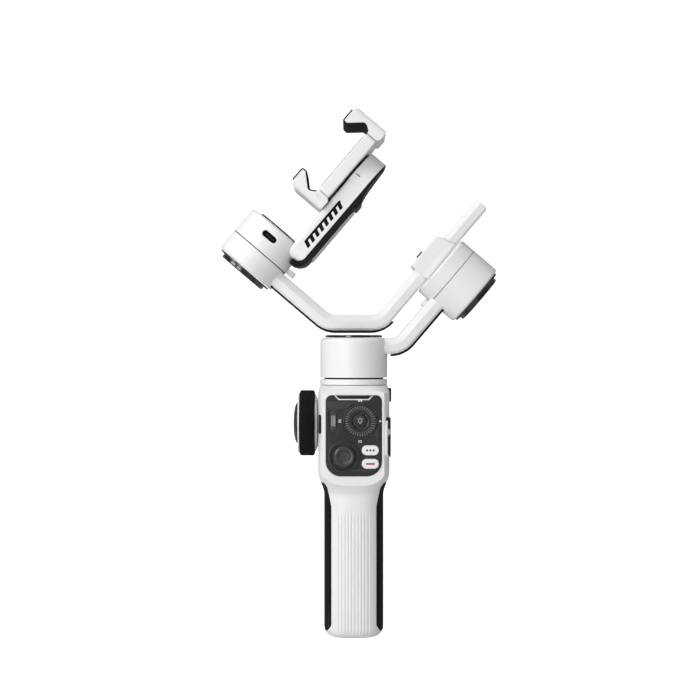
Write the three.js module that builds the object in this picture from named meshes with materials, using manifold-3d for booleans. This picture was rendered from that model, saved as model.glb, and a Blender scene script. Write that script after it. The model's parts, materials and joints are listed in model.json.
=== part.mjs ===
// Hand-held smartphone gimbal with three motorised axes.
// Millimetres, +Z up, the control panel faces -Y, and the origin is the tripod thread in the
// bottom of the handle. Above the pan motor the pieces are drawn in the roll frame: x runs along
// the tilt axis, z runs along the roll axis, and y stays the object's own depth.
import * as THREE from "three";
import { mergeVertices } from "three/addons/utils/BufferGeometryUtils.js";
import Module from "manifold-3d";

const wasm = await Module();
wasm.setup();

const DEGREE = Math.PI / 180;

// ---------------------------------------------------------------------------------------------
// Driving dimensions
// ---------------------------------------------------------------------------------------------

// Clearances
const SEAT = 0.3; // between pieces that sit on or in one another
const RUN = 0.1; // radial, between a shaft and its bore
const SWING = 0.35; // axial, between the fixed and the turning half of a motor

// Roundness: sides of the large housings, of middle-sized pieces and of small ones
const LARGE_SIDES = 36;
const MIDDLE_SIDES = 24;
const SMALL_SIDES = 12;

// Handle
const gripHeight = 87;
const gripHalfWidth = 17.5;
const gripHalfDepth = 20.5;
const gripSquareness = 2.7; // exponent of the superellipse, 2 is an ellipse
const footRadius = 5.5;
const headHeight = 60.5;
const headHalfWidth = 21;
const headFrontDepth = 27.5;
const headRearDepth = 22;
const headSquareness = 4.2;
const panelFace = 23.6; // the flat that carries the control panel
const shellWall = 2.2;
const partingDepth = 3; // the front and rear shells meet here
const ribCount = 9;
const ribPitch = 1.9;
const ribGroove = 0.7;
const ribDepth = 0.45;
const inlayEdge = 13.2; // half the width of the white front between the two dark inlays
const inlayThickness = 1.5;
const inlayRearDepth = 8;

// Bottom cap, tripod thread, battery and board
const bottomCapThickness = 3.2;
const threadRadius = 3.175;
const threadInsertRadius = 5.6;
const threadInsertHeight = 9;
const batteryRadius = 9.2;
const batteryLength = 65;
const boardThickness = 1.6;

// Control panel and its keys
const panelHalfWidth = 16.2;
const panelHeight = 46.8;
const panelTopGap = 5.5; // from the top of the panel to the top of the head
const panelThickness = 2;
const panelTopRadius = 3.5;
const panelBottomRadius = 8.7;
const keyTravel = 0.5;
const keyProud = 0.8;
const dialRadius = 10;
const dialButtonRadius = 4.15;
const joystickRadius = 6.1;
const joystickSocketRadius = 8.1;
const joystickBezelRadius = 9.3;
const pillWidth = 9.9;
const pillHeight = 5.7;
const menuWidth = 3.8;
const menuHeight = 11.8;

// Focus wheel, side keys and trigger
const wheelRadius = 19.4;
const wheelWidth = 8.9;
const wheelTeeth = 40;
const wheelToothDepth = 0.4;
const wheelShaftRadius = 3;
const bushingRadius = 5.9;
const hubDiscProud = 1; // the hub's disc beyond the left side of the ring
const wheelStandOff = 2; // from the side of the head to the knurled ring
const padProud = 0.9;
const triggerHalfWidth = 7;
const triggerPinRadius = 1.2;

// Motors
const panRadius = 19.9;
const panHeight = 23.3;
const panGap = 0.9;
const panCapHeight = 1.4;
const collarHeight = 3.3;
const rollRadius = 19.9;
const rollHousingLength = 17.5;
const rollRotorLength = 9.7;
const tiltRadius = 19.7;
const tiltHousingLength = 12.8;
const tiltRotorLength = 16.9;
const motorWall = 2.1;
const shaftRadius = 3;
const statorRadius = 14;
const capRadius = 18;
const capStepRadius = 15.3;
const capHeight = 3.3;
const lockTabWidth = 8;
const lockTabReach = 5;
const lockTabLength = 3.5;
const lockTabTravel = 2.5;

// Frame of the roll motor: where its axis crosses the middle of the split, and how it leans
const armLean = 49.5 * DEGREE;
const rollReach = 59.9;
const rollRise = 59.3; // above the top of the collar
const tiltAxis = 98.2; // distance of the tilt axis from the roll split, along the roll axis

// Arms
const armThickness = 9.4;
const armDepth = 18;
const armBend = 12; // radius of the middle line in every bend
const armEdge = 1.8; // chamfer along the arm's front and rear edges
const armClearance = 1.3; // between the swing arm's cover strip and the pan cap
const armTail = 41; // how far the straight arm passes the roll axis
const stripThickness = 1.1;
const stripDepth = 14;
const portOffset = 1.4; // the accessory port from the middle of the rotor, towards the phone
const tiltArmOffset = 0.9; // the upright of the swing arm from the middle of the tilt housing
const panArmHeight = 18.6; // from the bottom of the pan housing to the arm's middle line
const panArmDrop = 2.95; // the leaning part's middle line below the roll split
const clampBoxHalfWidth = 11.7;
const clampBoxFlare = 3;
const clampBoxWall = 3;
const clampBoxSide = 3.3;
const lockScrewRadius = 2.5;
const lockScrewOffset = -2.8;

// Phone cradle
const clampAxis = 8.1; // the phone clamp turns here, measured from the roll axis
const cradleHalfWidth = 16.4;
const cradleLeft = -53.5;
const cradleCoverLeft = -57.2;
const cradleTop = -12.8; // from the tilt axis
const cradleEdge = -15.6;
const cradleSeam = -23.5;
const cradleWall = 2.2;
const coverBottom = -26.6;
const coverHump = 1.4;
const cradleCorner = 5; // radius of the seam line's corner at the tilt motor
const grillePitch = 4.15; // spacing of the slanted bars
const grilleBars = 7;
const grilleSlot = 2.5;
const grilleLean = 1.9; // how far a bar leans over its height
const grilleGap = 1.4; // between the tops of the bars and the grille's upper edge
const grilleLeft = -43.5;
const grilleLow = -21.3;
const grilleHigh = -16.8;
const plateLeft = -47.3;
const plateRight = -8.8;
const plateHalfWidth = 12.5;
const plateThickness = 0.75;

// Phone clamp
const turntableRadius = 14.5;
const turntableHeight = 0.8;
const pivotRadius = 4;
const barHalfLength = 21.5;
const barHalfWidth = 20.5;
const barHeight = 7.6;
const clampPadThickness = 0.8;
const jawThickness = 8.3;
const jawHeight = 25.4;
const jawPadThickness = 0.8;
const tongueHalfWidth = 12;
const tongueThickness = 2.5;

// ---------------------------------------------------------------------------------------------
// Places that follow from the dimensions
// ---------------------------------------------------------------------------------------------

const headTop = gripHeight + headHeight;
const neckStart = gripHeight - 4;
const neckEnd = gripHeight + 10;
const shoulder = headTop - 4;
const panelTop = headTop - panelTopGap;
const panelBottom = panelTop - panelHeight;
const panelFront = -(panelFace + SEAT);
const panelBack = panelFront + panelThickness;
const recessFloor = panelBack + SEAT;
const keyFront = panelFront - keyProud;
const keyBack = recessFloor - SEAT - keyTravel;

const dialCentre = [3.6, panelTop - 14.9];
const menuCentre = [-11.9, panelTop - 14.8];
const joystickCentre = [-5.6, panelTop - 35.4];
const modeCentre = [9.5, panelTop - 31.8];
const recordCentre = [9.5, panelTop - 39.6];
const joystickPivot = -17.4;
const wheelCentre = headTop - 22.4;
const triggerPivot = [18.2, headTop - 13.5];

const collarBottom = headTop + SEAT;
const collarTop = collarBottom + collarHeight;
const panBottom = collarTop + panGap;
const panTop = panBottom + panHeight;
const panCapTop = panTop + SEAT + panCapHeight;
const rollCentre = new THREE.Vector3(rollReach, 0, collarTop + rollRise);

const rollSplit = 1.8; // top of the fixed half of the roll motor
const rollBottom = rollSplit - rollHousingLength;
const rollRotorBottom = rollSplit + SWING;
const rollRotorTop = rollRotorBottom + rollRotorLength;

const armUnder = rollRotorTop + SWING;
const armMiddle = armUnder + armThickness / 2;
const armOver = armUnder + armThickness;
const clampBoxTop = armOver + SEAT + clampBoxWall;

const tiltSplit = -63.2; // open end of the fixed half of the tilt motor
const tiltLeft = tiltSplit - tiltHousingLength;
const tiltRotorLeft = tiltSplit + 1.5 * SWING;
const tiltRotorRight = tiltRotorLeft + tiltRotorLength;
const uprightMiddle = (tiltLeft + tiltSplit) / 2 + tiltArmOffset;

const shaftDiscRadius = 13.6;
const shaftDiscThickness = 0.8;

// ---------------------------------------------------------------------------------------------
// Solids from three.js shapes
// ---------------------------------------------------------------------------------------------

// A closed geometry as a solid: vertices merged and faces without area dropped.
function solid(geometry) {
  const bare = geometry.clone();
  bare.deleteAttribute("normal");
  bare.deleteAttribute("uv");
  const merged = mergeVertices(bare, 1e-4);
  const index = merged.index.array;
  const kept = [];
  for (let i = 0; i < index.length; i += 3) {
    const [a, b, c] = [index[i], index[i + 1], index[i + 2]];
    if (a !== b && b !== c && a !== c) kept.push(a, b, c);
  }
  return new wasm.Manifold(
    new wasm.Mesh({
      numProp: 3,
      vertProperties: merged.attributes.position.array,
      triVerts: new Uint32Array(kept),
    }),
  );
}

// A solid of revolution about Z from [radius, height] pairs, listed from the bottom up the outside.
function turned(profile, sides = LARGE_SIDES) {
  const points = profile.map(([r, h]) => new THREE.Vector2(r, h));
  const geometry = new THREE.LatheGeometry(points, sides);
  return solid(geometry.rotateX(Math.PI / 2));
}

// The same about X: the pairs are [radius, x].
const turnedAboutX = (profile, sides) => turned(profile, sides).rotate([0, 90, 0]);

// The same about Y, with the pairs as [radius, -y], at x and z.
const turnedAboutY = (profile, [x, z], sides) =>
  turned(profile, sides).rotate([90, 0, 0]).translate([x, 0, z]);

const cylinder = (radius, bottom, top, sides = MIDDLE_SIDES) =>
  turned([[0, bottom], [radius, bottom], [radius, top], [0, top]], sides);

const cylinderX = (radius, left, right, sides = MIDDLE_SIDES) =>
  turnedAboutX([[0, left], [radius, left], [radius, right], [0, right]], sides);

// A cylinder along Y from the front to the rear, at [x, z].
const cylinderY = (radius, front, rear, centre, sides = MIDDLE_SIDES) =>
  turnedAboutY([[0, -rear], [radius, -rear], [radius, -front], [0, -front]], centre, sides);

function box(x0, x1, y0, y1, z0, z1) {
  const geometry = new THREE.BoxGeometry(x1 - x0, y1 - y0, z1 - z0);
  return solid(geometry.translate((x0 + x1) / 2, (y0 + y1) / 2, (z0 + z1) / 2));
}

// An outline extruded to a depth, its two ends chamfered by `edge`.
function extruded(shape, depth, edge = 0, curveSegments = 2) {
  return new THREE.ExtrudeGeometry(shape, {
    depth: depth - 2 * edge,
    bevelEnabled: edge > 0,
    bevelThickness: edge,
    bevelSize: edge,
    bevelOffset: -edge,
    bevelSegments: 1,
    curveSegments,
  }).translate(0, 0, edge);
}

// An outline in the XZ plane, extruded between two depths.
const standing = (shape, front, rear, edge, curveSegments) =>
  solid(extruded(shape, rear - front, edge, curveSegments).rotateX(Math.PI / 2)).translate([0, rear, 0]);

// An outline in the XY plane, extruded between two heights.
const lying = (shape, bottom, top, edge, curveSegments) =>
  solid(extruded(shape, top - bottom, edge, curveSegments)).translate([0, 0, bottom]);

// An outline in the YZ plane, extruded between two sides.
const sideways = (shape, left, right, edge, curveSegments) =>
  solid(extruded(shape, right - left, edge, curveSegments).rotateX(Math.PI / 2).rotateZ(Math.PI / 2))
    .translate([left, 0, 0]);

const outline = (points) => new THREE.Shape(points.map(([x, y]) => new THREE.Vector2(x, y)));

// A rectangle whose corners have the radii [lower left, lower right, upper right, upper left].
function rounded(x0, x1, y0, y1, radii) {
  const [a, b, c, d] = Array.isArray(radii) ? radii : [radii, radii, radii, radii];
  const shape = new THREE.Shape();
  shape.absarc(x0 + a, y0 + a, a, Math.PI, 1.5 * Math.PI, false);
  shape.absarc(x1 - b, y0 + b, b, 1.5 * Math.PI, 2 * Math.PI, false);
  shape.absarc(x1 - c, y1 - c, c, 0, 0.5 * Math.PI, false);
  shape.absarc(x0 + d, y1 - d, d, 0.5 * Math.PI, Math.PI, false);
  return shape;
}

const roundedAt = ([x, y], width, height, radius) =>
  rounded(x - width / 2, x + width / 2, y - height / 2, y + height / 2, radius);

// A route along straight lines with round corners, as samples of place and left-hand normal.
function route(points, radii) {
  const samples = [];
  const step = 16 * DEGREE;
  for (let i = 0; i < points.length; i++) {
    const here = new THREE.Vector2(...points[i]);
    const before = i > 0 ? here.clone().sub(new THREE.Vector2(...points[i - 1])).normalize() : null;
    const after =
      i < points.length - 1 ? new THREE.Vector2(...points[i + 1]).sub(here).normalize() : null;
    if (!before || !after) {
      const along = before ?? after;
      samples.push({ at: here, normal: new THREE.Vector2(-along.y, along.x) });
      continue;
    }
    const turn = Math.atan2(before.cross(after), before.dot(after));
    const radius = Array.isArray(radii) ? radii[i] : radii;
    const reach = radius * Math.tan(Math.abs(turn) / 2);
    const side = Math.sign(turn);
    const start = here.clone().addScaledVector(before, -reach);
    const centre = start.clone().add(new THREE.Vector2(-before.y, before.x).multiplyScalar(side * radius));
    const steps = Math.max(2, Math.ceil(Math.abs(turn) / step));
    for (let k = 0; k <= steps; k++) {
      const spoke = start.clone().sub(centre).rotateAround(new THREE.Vector2(), (turn * k) / steps);
      const normal = spoke.clone().multiplyScalar(-side / radius);
      samples.push({ at: centre.clone().add(spoke), normal });
    }
  }
  return samples;
}

const offset = (samples, distance) =>
  samples.map(({ at, normal }) => at.clone().addScaledVector(normal, distance));

// A band between two offsets of a route, with round corners at its end when asked.
function band(samples, right, left, endRadius = 0) {
  const back = offset(samples, left).reverse();
  const out = offset(samples, right);
  const shape = new THREE.Shape(out);
  if (endRadius > 0) {
    const last = samples[samples.length - 1];
    const along = new THREE.Vector2(last.normal.y, -last.normal.x);
    const corner = (distance, sign) => {
      const centre = last.at.clone().addScaledVector(last.normal, distance - sign * endRadius);
      for (let k = 0; k <= 4; k++) {
        const angle = (k * Math.PI) / 8;
        const a = sign < 0 ? angle : Math.PI / 2 - angle;
        shape.lineTo(
          centre.x + endRadius * (along.x * Math.sin(a) + sign * last.normal.x * Math.cos(a)),
          centre.y + endRadius * (along.y * Math.sin(a) + sign * last.normal.y * Math.cos(a)),
        );
      }
    };
    corner(right, -1);
    corner(left, 1);
  }
  back.forEach((p) => shape.lineTo(p.x, p.y));
  return shape;
}

const joined = (...solids) => solids.reduce((whole, next) => whole.add(next));
const cut = (whole, ...cutters) => cutters.reduce((rest, next) => rest.subtract(next), whole);

// ---------------------------------------------------------------------------------------------
// Materials
// ---------------------------------------------------------------------------------------------

const finish = (color, roughness, metalness = 0) =>
  new THREE.MeshStandardMaterial({ color, roughness, metalness });

const white = finish(0xeceded, 0.45);
const dark = finish(0x17181a, 0.6);
const rubber = finish(0x1b1c1d, 0.85);
const panelGrey = finish(0x2a2c2f, 0.35);
const keyGrey = finish(0x6d7073, 0.5);
const glossBlack = finish(0x0c0c0e, 0.15);
const steel = finish(0xb9bcc0, 0.3, 1);
const silver = finish(0xc9ccd0, 0.35, 1);
const copper = finish(0xb06a3a, 0.4, 1);
const brass = finish(0xc2a05a, 0.35, 1);
const boardGreen = finish(0x1f5a3a, 0.6);
const cellBlue = finish(0x2f5f8f, 0.5);

// A finished node: a named mesh made from a solid.
function piece(name, shape, material) {
  const mesh = shape.getMesh();
  const geometry = new THREE.BufferGeometry();
  const stride = mesh.numProp;
  const places = new Float32Array(mesh.numVert * 3);
  for (let i = 0; i < mesh.numVert; i++) {
    places.set(mesh.vertProperties.subarray(i * stride, i * stride + 3), i * 3);
  }
  geometry.setAttribute("position", new THREE.BufferAttribute(places, 3));
  geometry.setIndex(new THREE.BufferAttribute(mesh.triVerts, 1));
  geometry.computeVertexNormals();
  const made = new THREE.Mesh(geometry, material);
  made.name = name;
  return made;
}

// ---------------------------------------------------------------------------------------------
// Handle
// ---------------------------------------------------------------------------------------------

const mix = (a, b, t) => a + (b - a) * t;
const smooth = (t) => {
  const s = Math.min(1, Math.max(0, t));
  return s * s * (3 - 2 * s);
};

// Half width, front and rear depth and squareness of the handle at a height.
function handleSection(z) {
  const neck = smooth((z - neckStart) / (neckEnd - neckStart));
  const round = Math.min(1, Math.max(0, (z - shoulder) / (headTop - shoulder)));
  const inFoot = Math.max(0, footRadius - z);
  const foot = footRadius - Math.sqrt(footRadius ** 2 - Math.min(inFoot, footRadius) ** 2);
  return {
    width: mix(mix(gripHalfWidth, headHalfWidth, neck), panRadius, round) - foot,
    front: mix(mix(gripHalfDepth, headFrontDepth, neck), panRadius, round) - foot,
    rear: mix(mix(gripHalfDepth, headRearDepth, neck), panRadius, round) - foot,
    squareness: mix(mix(gripSquareness, headSquareness, neck), 2, round),
  };
}

const sectionHeights = [
  0, 0.45, 1.6, 3.3, footRadius, neckStart,
  ...[0.2, 0.4, 0.6, 0.8, 1].map((t) => mix(neckStart, neckEnd, t)),
  shoulder, mix(shoulder, headTop, 0.5), headTop,
];

// The handle's outside, grown by `grow`, between two heights: a cylinder whose rings take the
// handle's sections.
function handleBody(grow, bottom = 0, top = headTop, sides = LARGE_SIDES) {
  const inside = sectionHeights.filter((z) => z > bottom + 0.3 && z < top - 0.3);
  const rings = [top, ...inside.reverse(), bottom];
  const count = rings.length - 1;
  const geometry = new THREE.CylinderGeometry(1, 1, count, sides, count).rotateX(Math.PI / 2);
  const place = geometry.attributes.position;
  for (let i = 0; i < place.count; i++) {
    const height = rings[Math.round(count / 2 - place.getZ(i))];
    const { width, front, rear, squareness } = handleSection(Math.min(headTop, Math.max(0, height)));
    const reach = Math.hypot(place.getX(i), place.getY(i));
    const across = place.getX(i);
    const along = place.getY(i);
    const depth = along < 0 ? front : rear;
    const bend = (v) => Math.sign(v) * Math.abs(v) ** (2 / squareness) * (reach > 0.5 ? 1 : 0);
    place.setXYZ(i, bend(across) * (width + grow), bend(along) * (depth + grow), height);
  }
  return solid(geometry);
}

// The dark inlay's region in front view, on the right side, grown by a gap.
function inlayRegion(gap) {
  const low = 3.7 - gap;
  const far = gripHalfWidth + 8;
  const inner = inlayEdge - gap;
  const narrowTop = gripHeight + 4 + gap;
  const shape = outline([
    [far, low], [inner + 2.6, low], [inner, low + 4], [inner, gripHeight - 10],
    [inner + 2.4, narrowTop - 3], [inner + 4.2, narrowTop], [far, narrowTop],
  ]);
  return standing(shape, -60, inlayRearDepth + gap);
}

const outerHandle = handleBody(0).intersect(box(-60, 60, -panelFace, 60, -5, headTop + 5));
const grownHandle = handleBody(padProud).intersect(box(-60, 60, -panelFace, 60, -5, headTop + 5));

function panelOutline(grow) {
  return rounded(
    -panelHalfWidth - grow, panelHalfWidth + grow, panelBottom - grow, panelTop + grow,
    [panelBottomRadius, panelBottomRadius, panelTopRadius, panelTopRadius],
  );
}

// A block of the handle's skin between two depths below the surface.
const skinBlock = (proud, depth, region) =>
  cut(handleBody(proud).intersect(region), handleBody(-depth));

const sideKeys = {
  power_button: { y: -4, z: headTop - 5.7, width: 5, height: 8.2, proud: 1.1 },
  zoom_button: { y: -18.8, z: headTop - 21.9, width: 3.6, height: 6.9, proud: 0.4 },
  usb_charge_port: { y: -18.8, z: headTop - 34.6, width: 3.6, height: 12.2, proud: 0.1 },
};

const keyRegion = ({ y, z, width, height }, gap) =>
  sideways(roundedAt([y, z], width + 2 * gap, height + 2 * gap, 1.6), 5, 40);

const triggerSlot = box(
  -triggerHalfWidth - 0.5, triggerHalfWidth + 0.5, 12, 40, triggerPivot[1] - 29, triggerPivot[1] + 4.6,
);

const pinLug = (x) => {
  const [depth, height] = triggerPivot;
  return box(x - 1.5, x + 1.5, depth - 3, depth + 2.4, height - 3.5, height + 3.5);
};

const bottomCapOutline = (gap) => {
  const { width, front, squareness } = handleSection(0);
  const points = [];
  for (let i = 0; i < MIDDLE_SIDES; i++) {
    const a = (2 * Math.PI * i) / MIDDLE_SIDES;
    const bend = (v) => Math.sign(v) * Math.abs(v) ** (2 / squareness);
    points.push([bend(Math.cos(a)) * (width - 1 + gap), bend(Math.sin(a)) * (front - 1 + gap)]);
  }
  return outline(points);
};

function handleShell() {
  const cavity = handleBody(-shellWall, bottomCapThickness, headTop - shellWall)
    .intersect(box(-60, 60, recessFloor + shellWall - SEAT, 60, -5, headTop));
  const sidePad = grownHandle.intersect(box(5, 40, -22, 9, headTop - 41.5, headTop - 19.5));
  let shell = cut(joined(outerHandle, sidePad), cavity, lying(bottomCapOutline(SEAT), -1, 5));
  const inlayPocket = inlayRegion(SEAT).intersect(cut(handleBody(1), handleBody(-inlayThickness - SEAT)));
  shell = cut(shell, inlayPocket, inlayPocket.mirror([1, 0, 0]), cylinder(4, headTop - 4, headTop + 2));
  shell = cut(shell, standing(panelOutline(SEAT), -40, recessFloor));
  const [jx, jz] = joystickCentre;
  shell = cut(shell, cylinderY(3.3, -30, -12, [jx, jz], SMALL_SIDES));
  for (const key of Object.values(sideKeys)) shell = cut(shell, keyRegion(key, SEAT));
  const bushingHole = cylinderX(bushingRadius + SEAT, -40, -10).translate([0, 0, wheelCentre]);
  shell = cut(shell, bushingHole, triggerSlot);
  for (let i = 0; i <= ribCount; i++) {
    const x = (i - ribCount / 2) * ribPitch;
    const { front, squareness, width } = handleSection(gripHeight / 2);
    const surface = -front * (1 - Math.abs(x / width) ** squareness) ** (1 / squareness);
    shell = cut(
      shell,
      box(x - ribGroove / 2, x + ribGroove / 2, surface - 5, surface + ribDepth, -1, gripHeight - 11),
    );
  }
  return shell;
}

function handlePieces() {
  const shell = handleShell();
  const frontHalf = box(-60, 60, -60, partingDepth - SEAT / 2, -10, 200);
  const rearHalf = box(-60, 60, partingDepth + SEAT / 2, 60, -10, 200);
  const pinHole = cylinderX(triggerPinRadius + SEAT, -12, 12, SMALL_SIDES)
    .translate([0, triggerPivot[0], triggerPivot[1]]);
  const lugs = joined(pinLug(triggerHalfWidth + 2.4), pinLug(-triggerHalfWidth - 2.4));
  const rear = cut(joined(shell.intersect(rearHalf), lugs.intersect(handleBody(-1))), pinHole);
  const inlay = inlayRegion(0).intersect(cut(handleBody(0), handleBody(-inlayThickness)));
  const cap = cut(
    lying(bottomCapOutline(0), 0, bottomCapThickness - SEAT),
    cylinder(threadInsertRadius + SEAT, -1, 5, SMALL_SIDES),
  );
  const insert = cut(
    cylinder(threadInsertRadius, 0, threadInsertHeight, SMALL_SIDES),
    cylinder(threadRadius, -1, threadInsertHeight - 1.5, SMALL_SIDES),
  );
  const batteryBottom = threadInsertHeight + 1;
  const battery = turned([
    [0, batteryBottom], [batteryRadius - 0.6, batteryBottom], [batteryRadius, batteryBottom + 0.6],
    [batteryRadius, batteryBottom + batteryLength - 0.6],
    [batteryRadius - 0.6, batteryBottom + batteryLength], [3, batteryBottom + batteryLength],
    [3, batteryBottom + batteryLength + 1.2], [0, batteryBottom + batteryLength + 1.2],
  ], MIDDLE_SIDES);
  const boardFront = joystickPivot + 4.6;
  const board = box(
    -headHalfWidth + 5.5, headHalfWidth - 5.5, boardFront, boardFront + boardThickness,
    neckEnd + 2, headTop - 6,
  );
  const collar = turned([
    [panRadius - 1.9, collarBottom], [panRadius, collarBottom], [panRadius, collarTop - 0.4],
    [panRadius - 0.4, collarTop], [panRadius - 1.9, collarTop], [panRadius - 1.9, collarBottom],
  ]);
  return [
    piece("handle_front_shell", shell.intersect(frontHalf), white),
    piece("handle_rear_shell", rear, white),
    piece("grip_inlay_right", inlay, rubber),
    piece("grip_inlay_left", inlay.mirror([1, 0, 0]), rubber),
    piece("bottom_cap", cap, white),
    piece("tripod_thread_insert", insert, brass),
    piece("battery_cell", battery, cellBlue),
    piece("main_circuit_board", board, boardGreen),
    piece("pan_collar", collar, white),
  ];
}

// The fixed half of the pan motor: base, neck and winding core round the pan shaft's bore.
function panMotorBase() {
  const neck = panRadius - motorWall - 0.4;
  const bore = shaftRadius + RUN;
  const coreTop = panTop - motorWall - 2;
  return turned([
    [bore, collarBottom + 1], [bore, collarBottom], [neck, collarBottom], [neck, panBottom + 0.6],
    [statorRadius - 3, panBottom + 2], [statorRadius, panBottom + 3.5], [statorRadius, coreTop],
    [bore, coreTop], [bore, collarBottom + 1],
  ], MIDDLE_SIDES);
}

// ---------------------------------------------------------------------------------------------
// Control panel, keys, dial and joystick
// ---------------------------------------------------------------------------------------------

// A round-cornered key with a chamfered face.
const keyBlock = (centre, width, height, radius, front = keyFront) =>
  cut(
    standing(roundedAt(centre, width, height, radius), front, keyBack + 1, 0.5),
    standing(roundedAt(centre, width + 4, height + 4, radius), keyBack, keyBack + 4),
  );

function controlPanel() {
  const notchLow = panelTop - 2.6;
  let panel = standing(panelOutline(0), panelFront, panelBack, 0.3);
  const notch = outline([[-10.7, panelTop + 2], [-8.4, notchLow], [8.4, notchLow], [10.7, panelTop + 2]]);
  panel = cut(panel, standing(notch, -40, -5));
  panel = cut(panel, cylinderY(dialRadius + SEAT, -40, -5, dialCentre));
  panel = joined(
    panel,
    turnedAboutY([
      [0, -panelBack], [joystickBezelRadius, -panelBack], [joystickBezelRadius, -panelFront + 0.3],
      [joystickBezelRadius - 0.5, -panelFront + 0.7], [0, -panelFront + 0.7],
    ], joystickCentre),
  );
  panel = cut(
    panel,
    cylinderY(joystickSocketRadius, -40, panelBack - 0.7, joystickCentre),
    cylinderY(3.3, -40, -5, joystickCentre, SMALL_SIDES),
    standing(roundedAt(menuCentre, menuWidth + 2 * SEAT, menuHeight + 2 * SEAT, 1.4 + SEAT), -40, -5),
    standing(roundedAt(modeCentre, pillWidth + 2 * SEAT, pillHeight + 2 * SEAT, 2.8 + SEAT), -40, -5),
    standing(roundedAt(recordCentre, pillWidth + 2 * SEAT, pillHeight + 2 * SEAT, 2.8 + SEAT), -40, -5),
    standing(roundedAt(menuCentre, menuWidth + 2.4, menuHeight + 1.8, 2.2), -40, panelFront + 0.5),
  );
  return panel;
}

function statusDisplay() {
  const low = panelTop - 2.6 + SEAT;
  const shape = outline([[-8, low], [8, low], [9.1, panelTop - SEAT / 2], [-9.1, panelTop - SEAT / 2]]);
  return standing(shape, panelFront, panelBack - SEAT, 0.15);
}

function controlDial() {
  const front = -panelFront + keyProud;
  const back = -recessFloor + SEAT;
  const hole = dialButtonRadius + SEAT;
  return turnedAboutY([
    [hole, back], [dialRadius, back], [dialRadius, front - 0.5], [dialRadius - 0.6, front],
    [hole + 0.6, front], [hole, front - 0.4], [hole, back],
  ], dialCentre, LARGE_SIDES);
}

function dialButton() {
  const front = -panelFront + keyProud;
  return turnedAboutY([
    [0, -keyBack], [dialButtonRadius, -keyBack], [dialButtonRadius, front - 0.3],
    [dialButtonRadius - 0.5, front + 0.1], [0, front + 0.1],
  ], dialCentre, MIDDLE_SIDES);
}

// The cap's stem carries a cross pin block, held by the yoke below the panel.
function joystickCap() {
  const rim = -panelFront + 0.4;
  return turnedAboutY([
    [0, -joystickPivot - 1], [1.3, -joystickPivot - 1], [1.3, rim], [joystickRadius - 0.6, rim],
    [joystickRadius, rim + 0.5], [joystickRadius - 0.2, rim + 1.5], [joystickRadius - 1, rim + 1.9],
    [3.4, rim + 1.5], [2.6, rim + 1.1], [0, rim + 1],
  ], joystickCentre, MIDDLE_SIDES);
}

function joystickYoke() {
  const [x, z] = joystickCentre;
  const front = joystickPivot - 1.4;
  const block = standing(roundedAt([x, z], 8.4, 8.4, 1.2), front, joystickPivot + 2.2);
  return cut(block, cylinderY(2.2, -40, 0, [x, z], SMALL_SIDES));
}

function sideKey(name) {
  const key = sideKeys[name];
  return skinBlock(key.proud, shellWall + 0.8, keyRegion(key, 0));
}

function usbChargePort() {
  const key = sideKeys.usb_charge_port;
  const block = skinBlock(key.proud, shellWall + 0.8, keyRegion(key, 0));
  return cut(block, sideways(roundedAt([key.y, key.z], 1.8, 9, 0.8), 19.4, 40));
}

// ---------------------------------------------------------------------------------------------
// Focus wheel and trigger
// ---------------------------------------------------------------------------------------------

const wheelRight = -headHalfWidth - wheelStandOff;
const wheelLeft = wheelRight - wheelWidth;

function focusWheelRing() {
  const points = [];
  for (let i = 0; i < wheelTeeth * 2; i++) {
    const angle = (Math.PI * i) / wheelTeeth;
    const radius = i % 2 ? wheelRadius : wheelRadius - wheelToothDepth;
    points.push([radius * Math.cos(angle), radius * Math.sin(angle)]);
  }
  const ring = sideways(outline(points), wheelLeft, wheelRight, 0.7);
  const bore = cylinderX(wheelRadius - 3.4, wheelLeft - 1, wheelRight + 1);
  return cut(ring, bore).translate([0, 0, wheelCentre]);
}

// Disc, cone and shaft in one piece, which carries the rubber ring.
function focusWheelHub() {
  const hubFace = wheelLeft - hubDiscProud;
  const rimSeat = wheelRadius - 3.4 - SEAT;
  const shaftEnd = wheelRight + 14;
  return turnedAboutX([
    [0, hubFace], [rimSeat + 1.6, hubFace], [rimSeat + 1.9, hubFace + 0.3],
    [rimSeat + 1.9, wheelLeft - SEAT], [rimSeat, wheelLeft - SEAT], [rimSeat, wheelRight + SEAT],
    [rimSeat + 2.2, wheelRight + SEAT], [rimSeat - 1.6, wheelRight + wheelStandOff - SEAT],
    [8, wheelRight + wheelStandOff - SEAT], [8, wheelRight + 0.4],
    [wheelShaftRadius, wheelRight + 0.4], [wheelShaftRadius, shaftEnd], [0, shaftEnd],
  ], MIDDLE_SIDES).translate([0, 0, wheelCentre]);
}

function focusWheelCap() {
  const face = wheelLeft - hubDiscProud - SEAT;
  return turnedAboutX([
    [0, face - 2.5], [4, face - 2.35], [8, face - 1.7], [10.6, face - 0.9],
    [12, face - 0.1], [12, face], [0, face],
  ], MIDDLE_SIDES).translate([0, 0, wheelCentre]);
}

// The collar that the wheel's shaft turns in, set in the side of the head.
function wheelBushing() {
  const bore = wheelShaftRadius + RUN;
  const outer = bushingRadius;
  const left = wheelRight + 0.8;
  return turnedAboutX([
    [bore, left], [outer + 1.2, left], [outer + 1.2, wheelRight + 1.6], [outer, wheelRight + 1.6],
    [outer, wheelRight + 6.5], [bore, wheelRight + 6.5], [bore, left],
  ], MIDDLE_SIDES).translate([0, 0, wheelCentre]);
}

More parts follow.
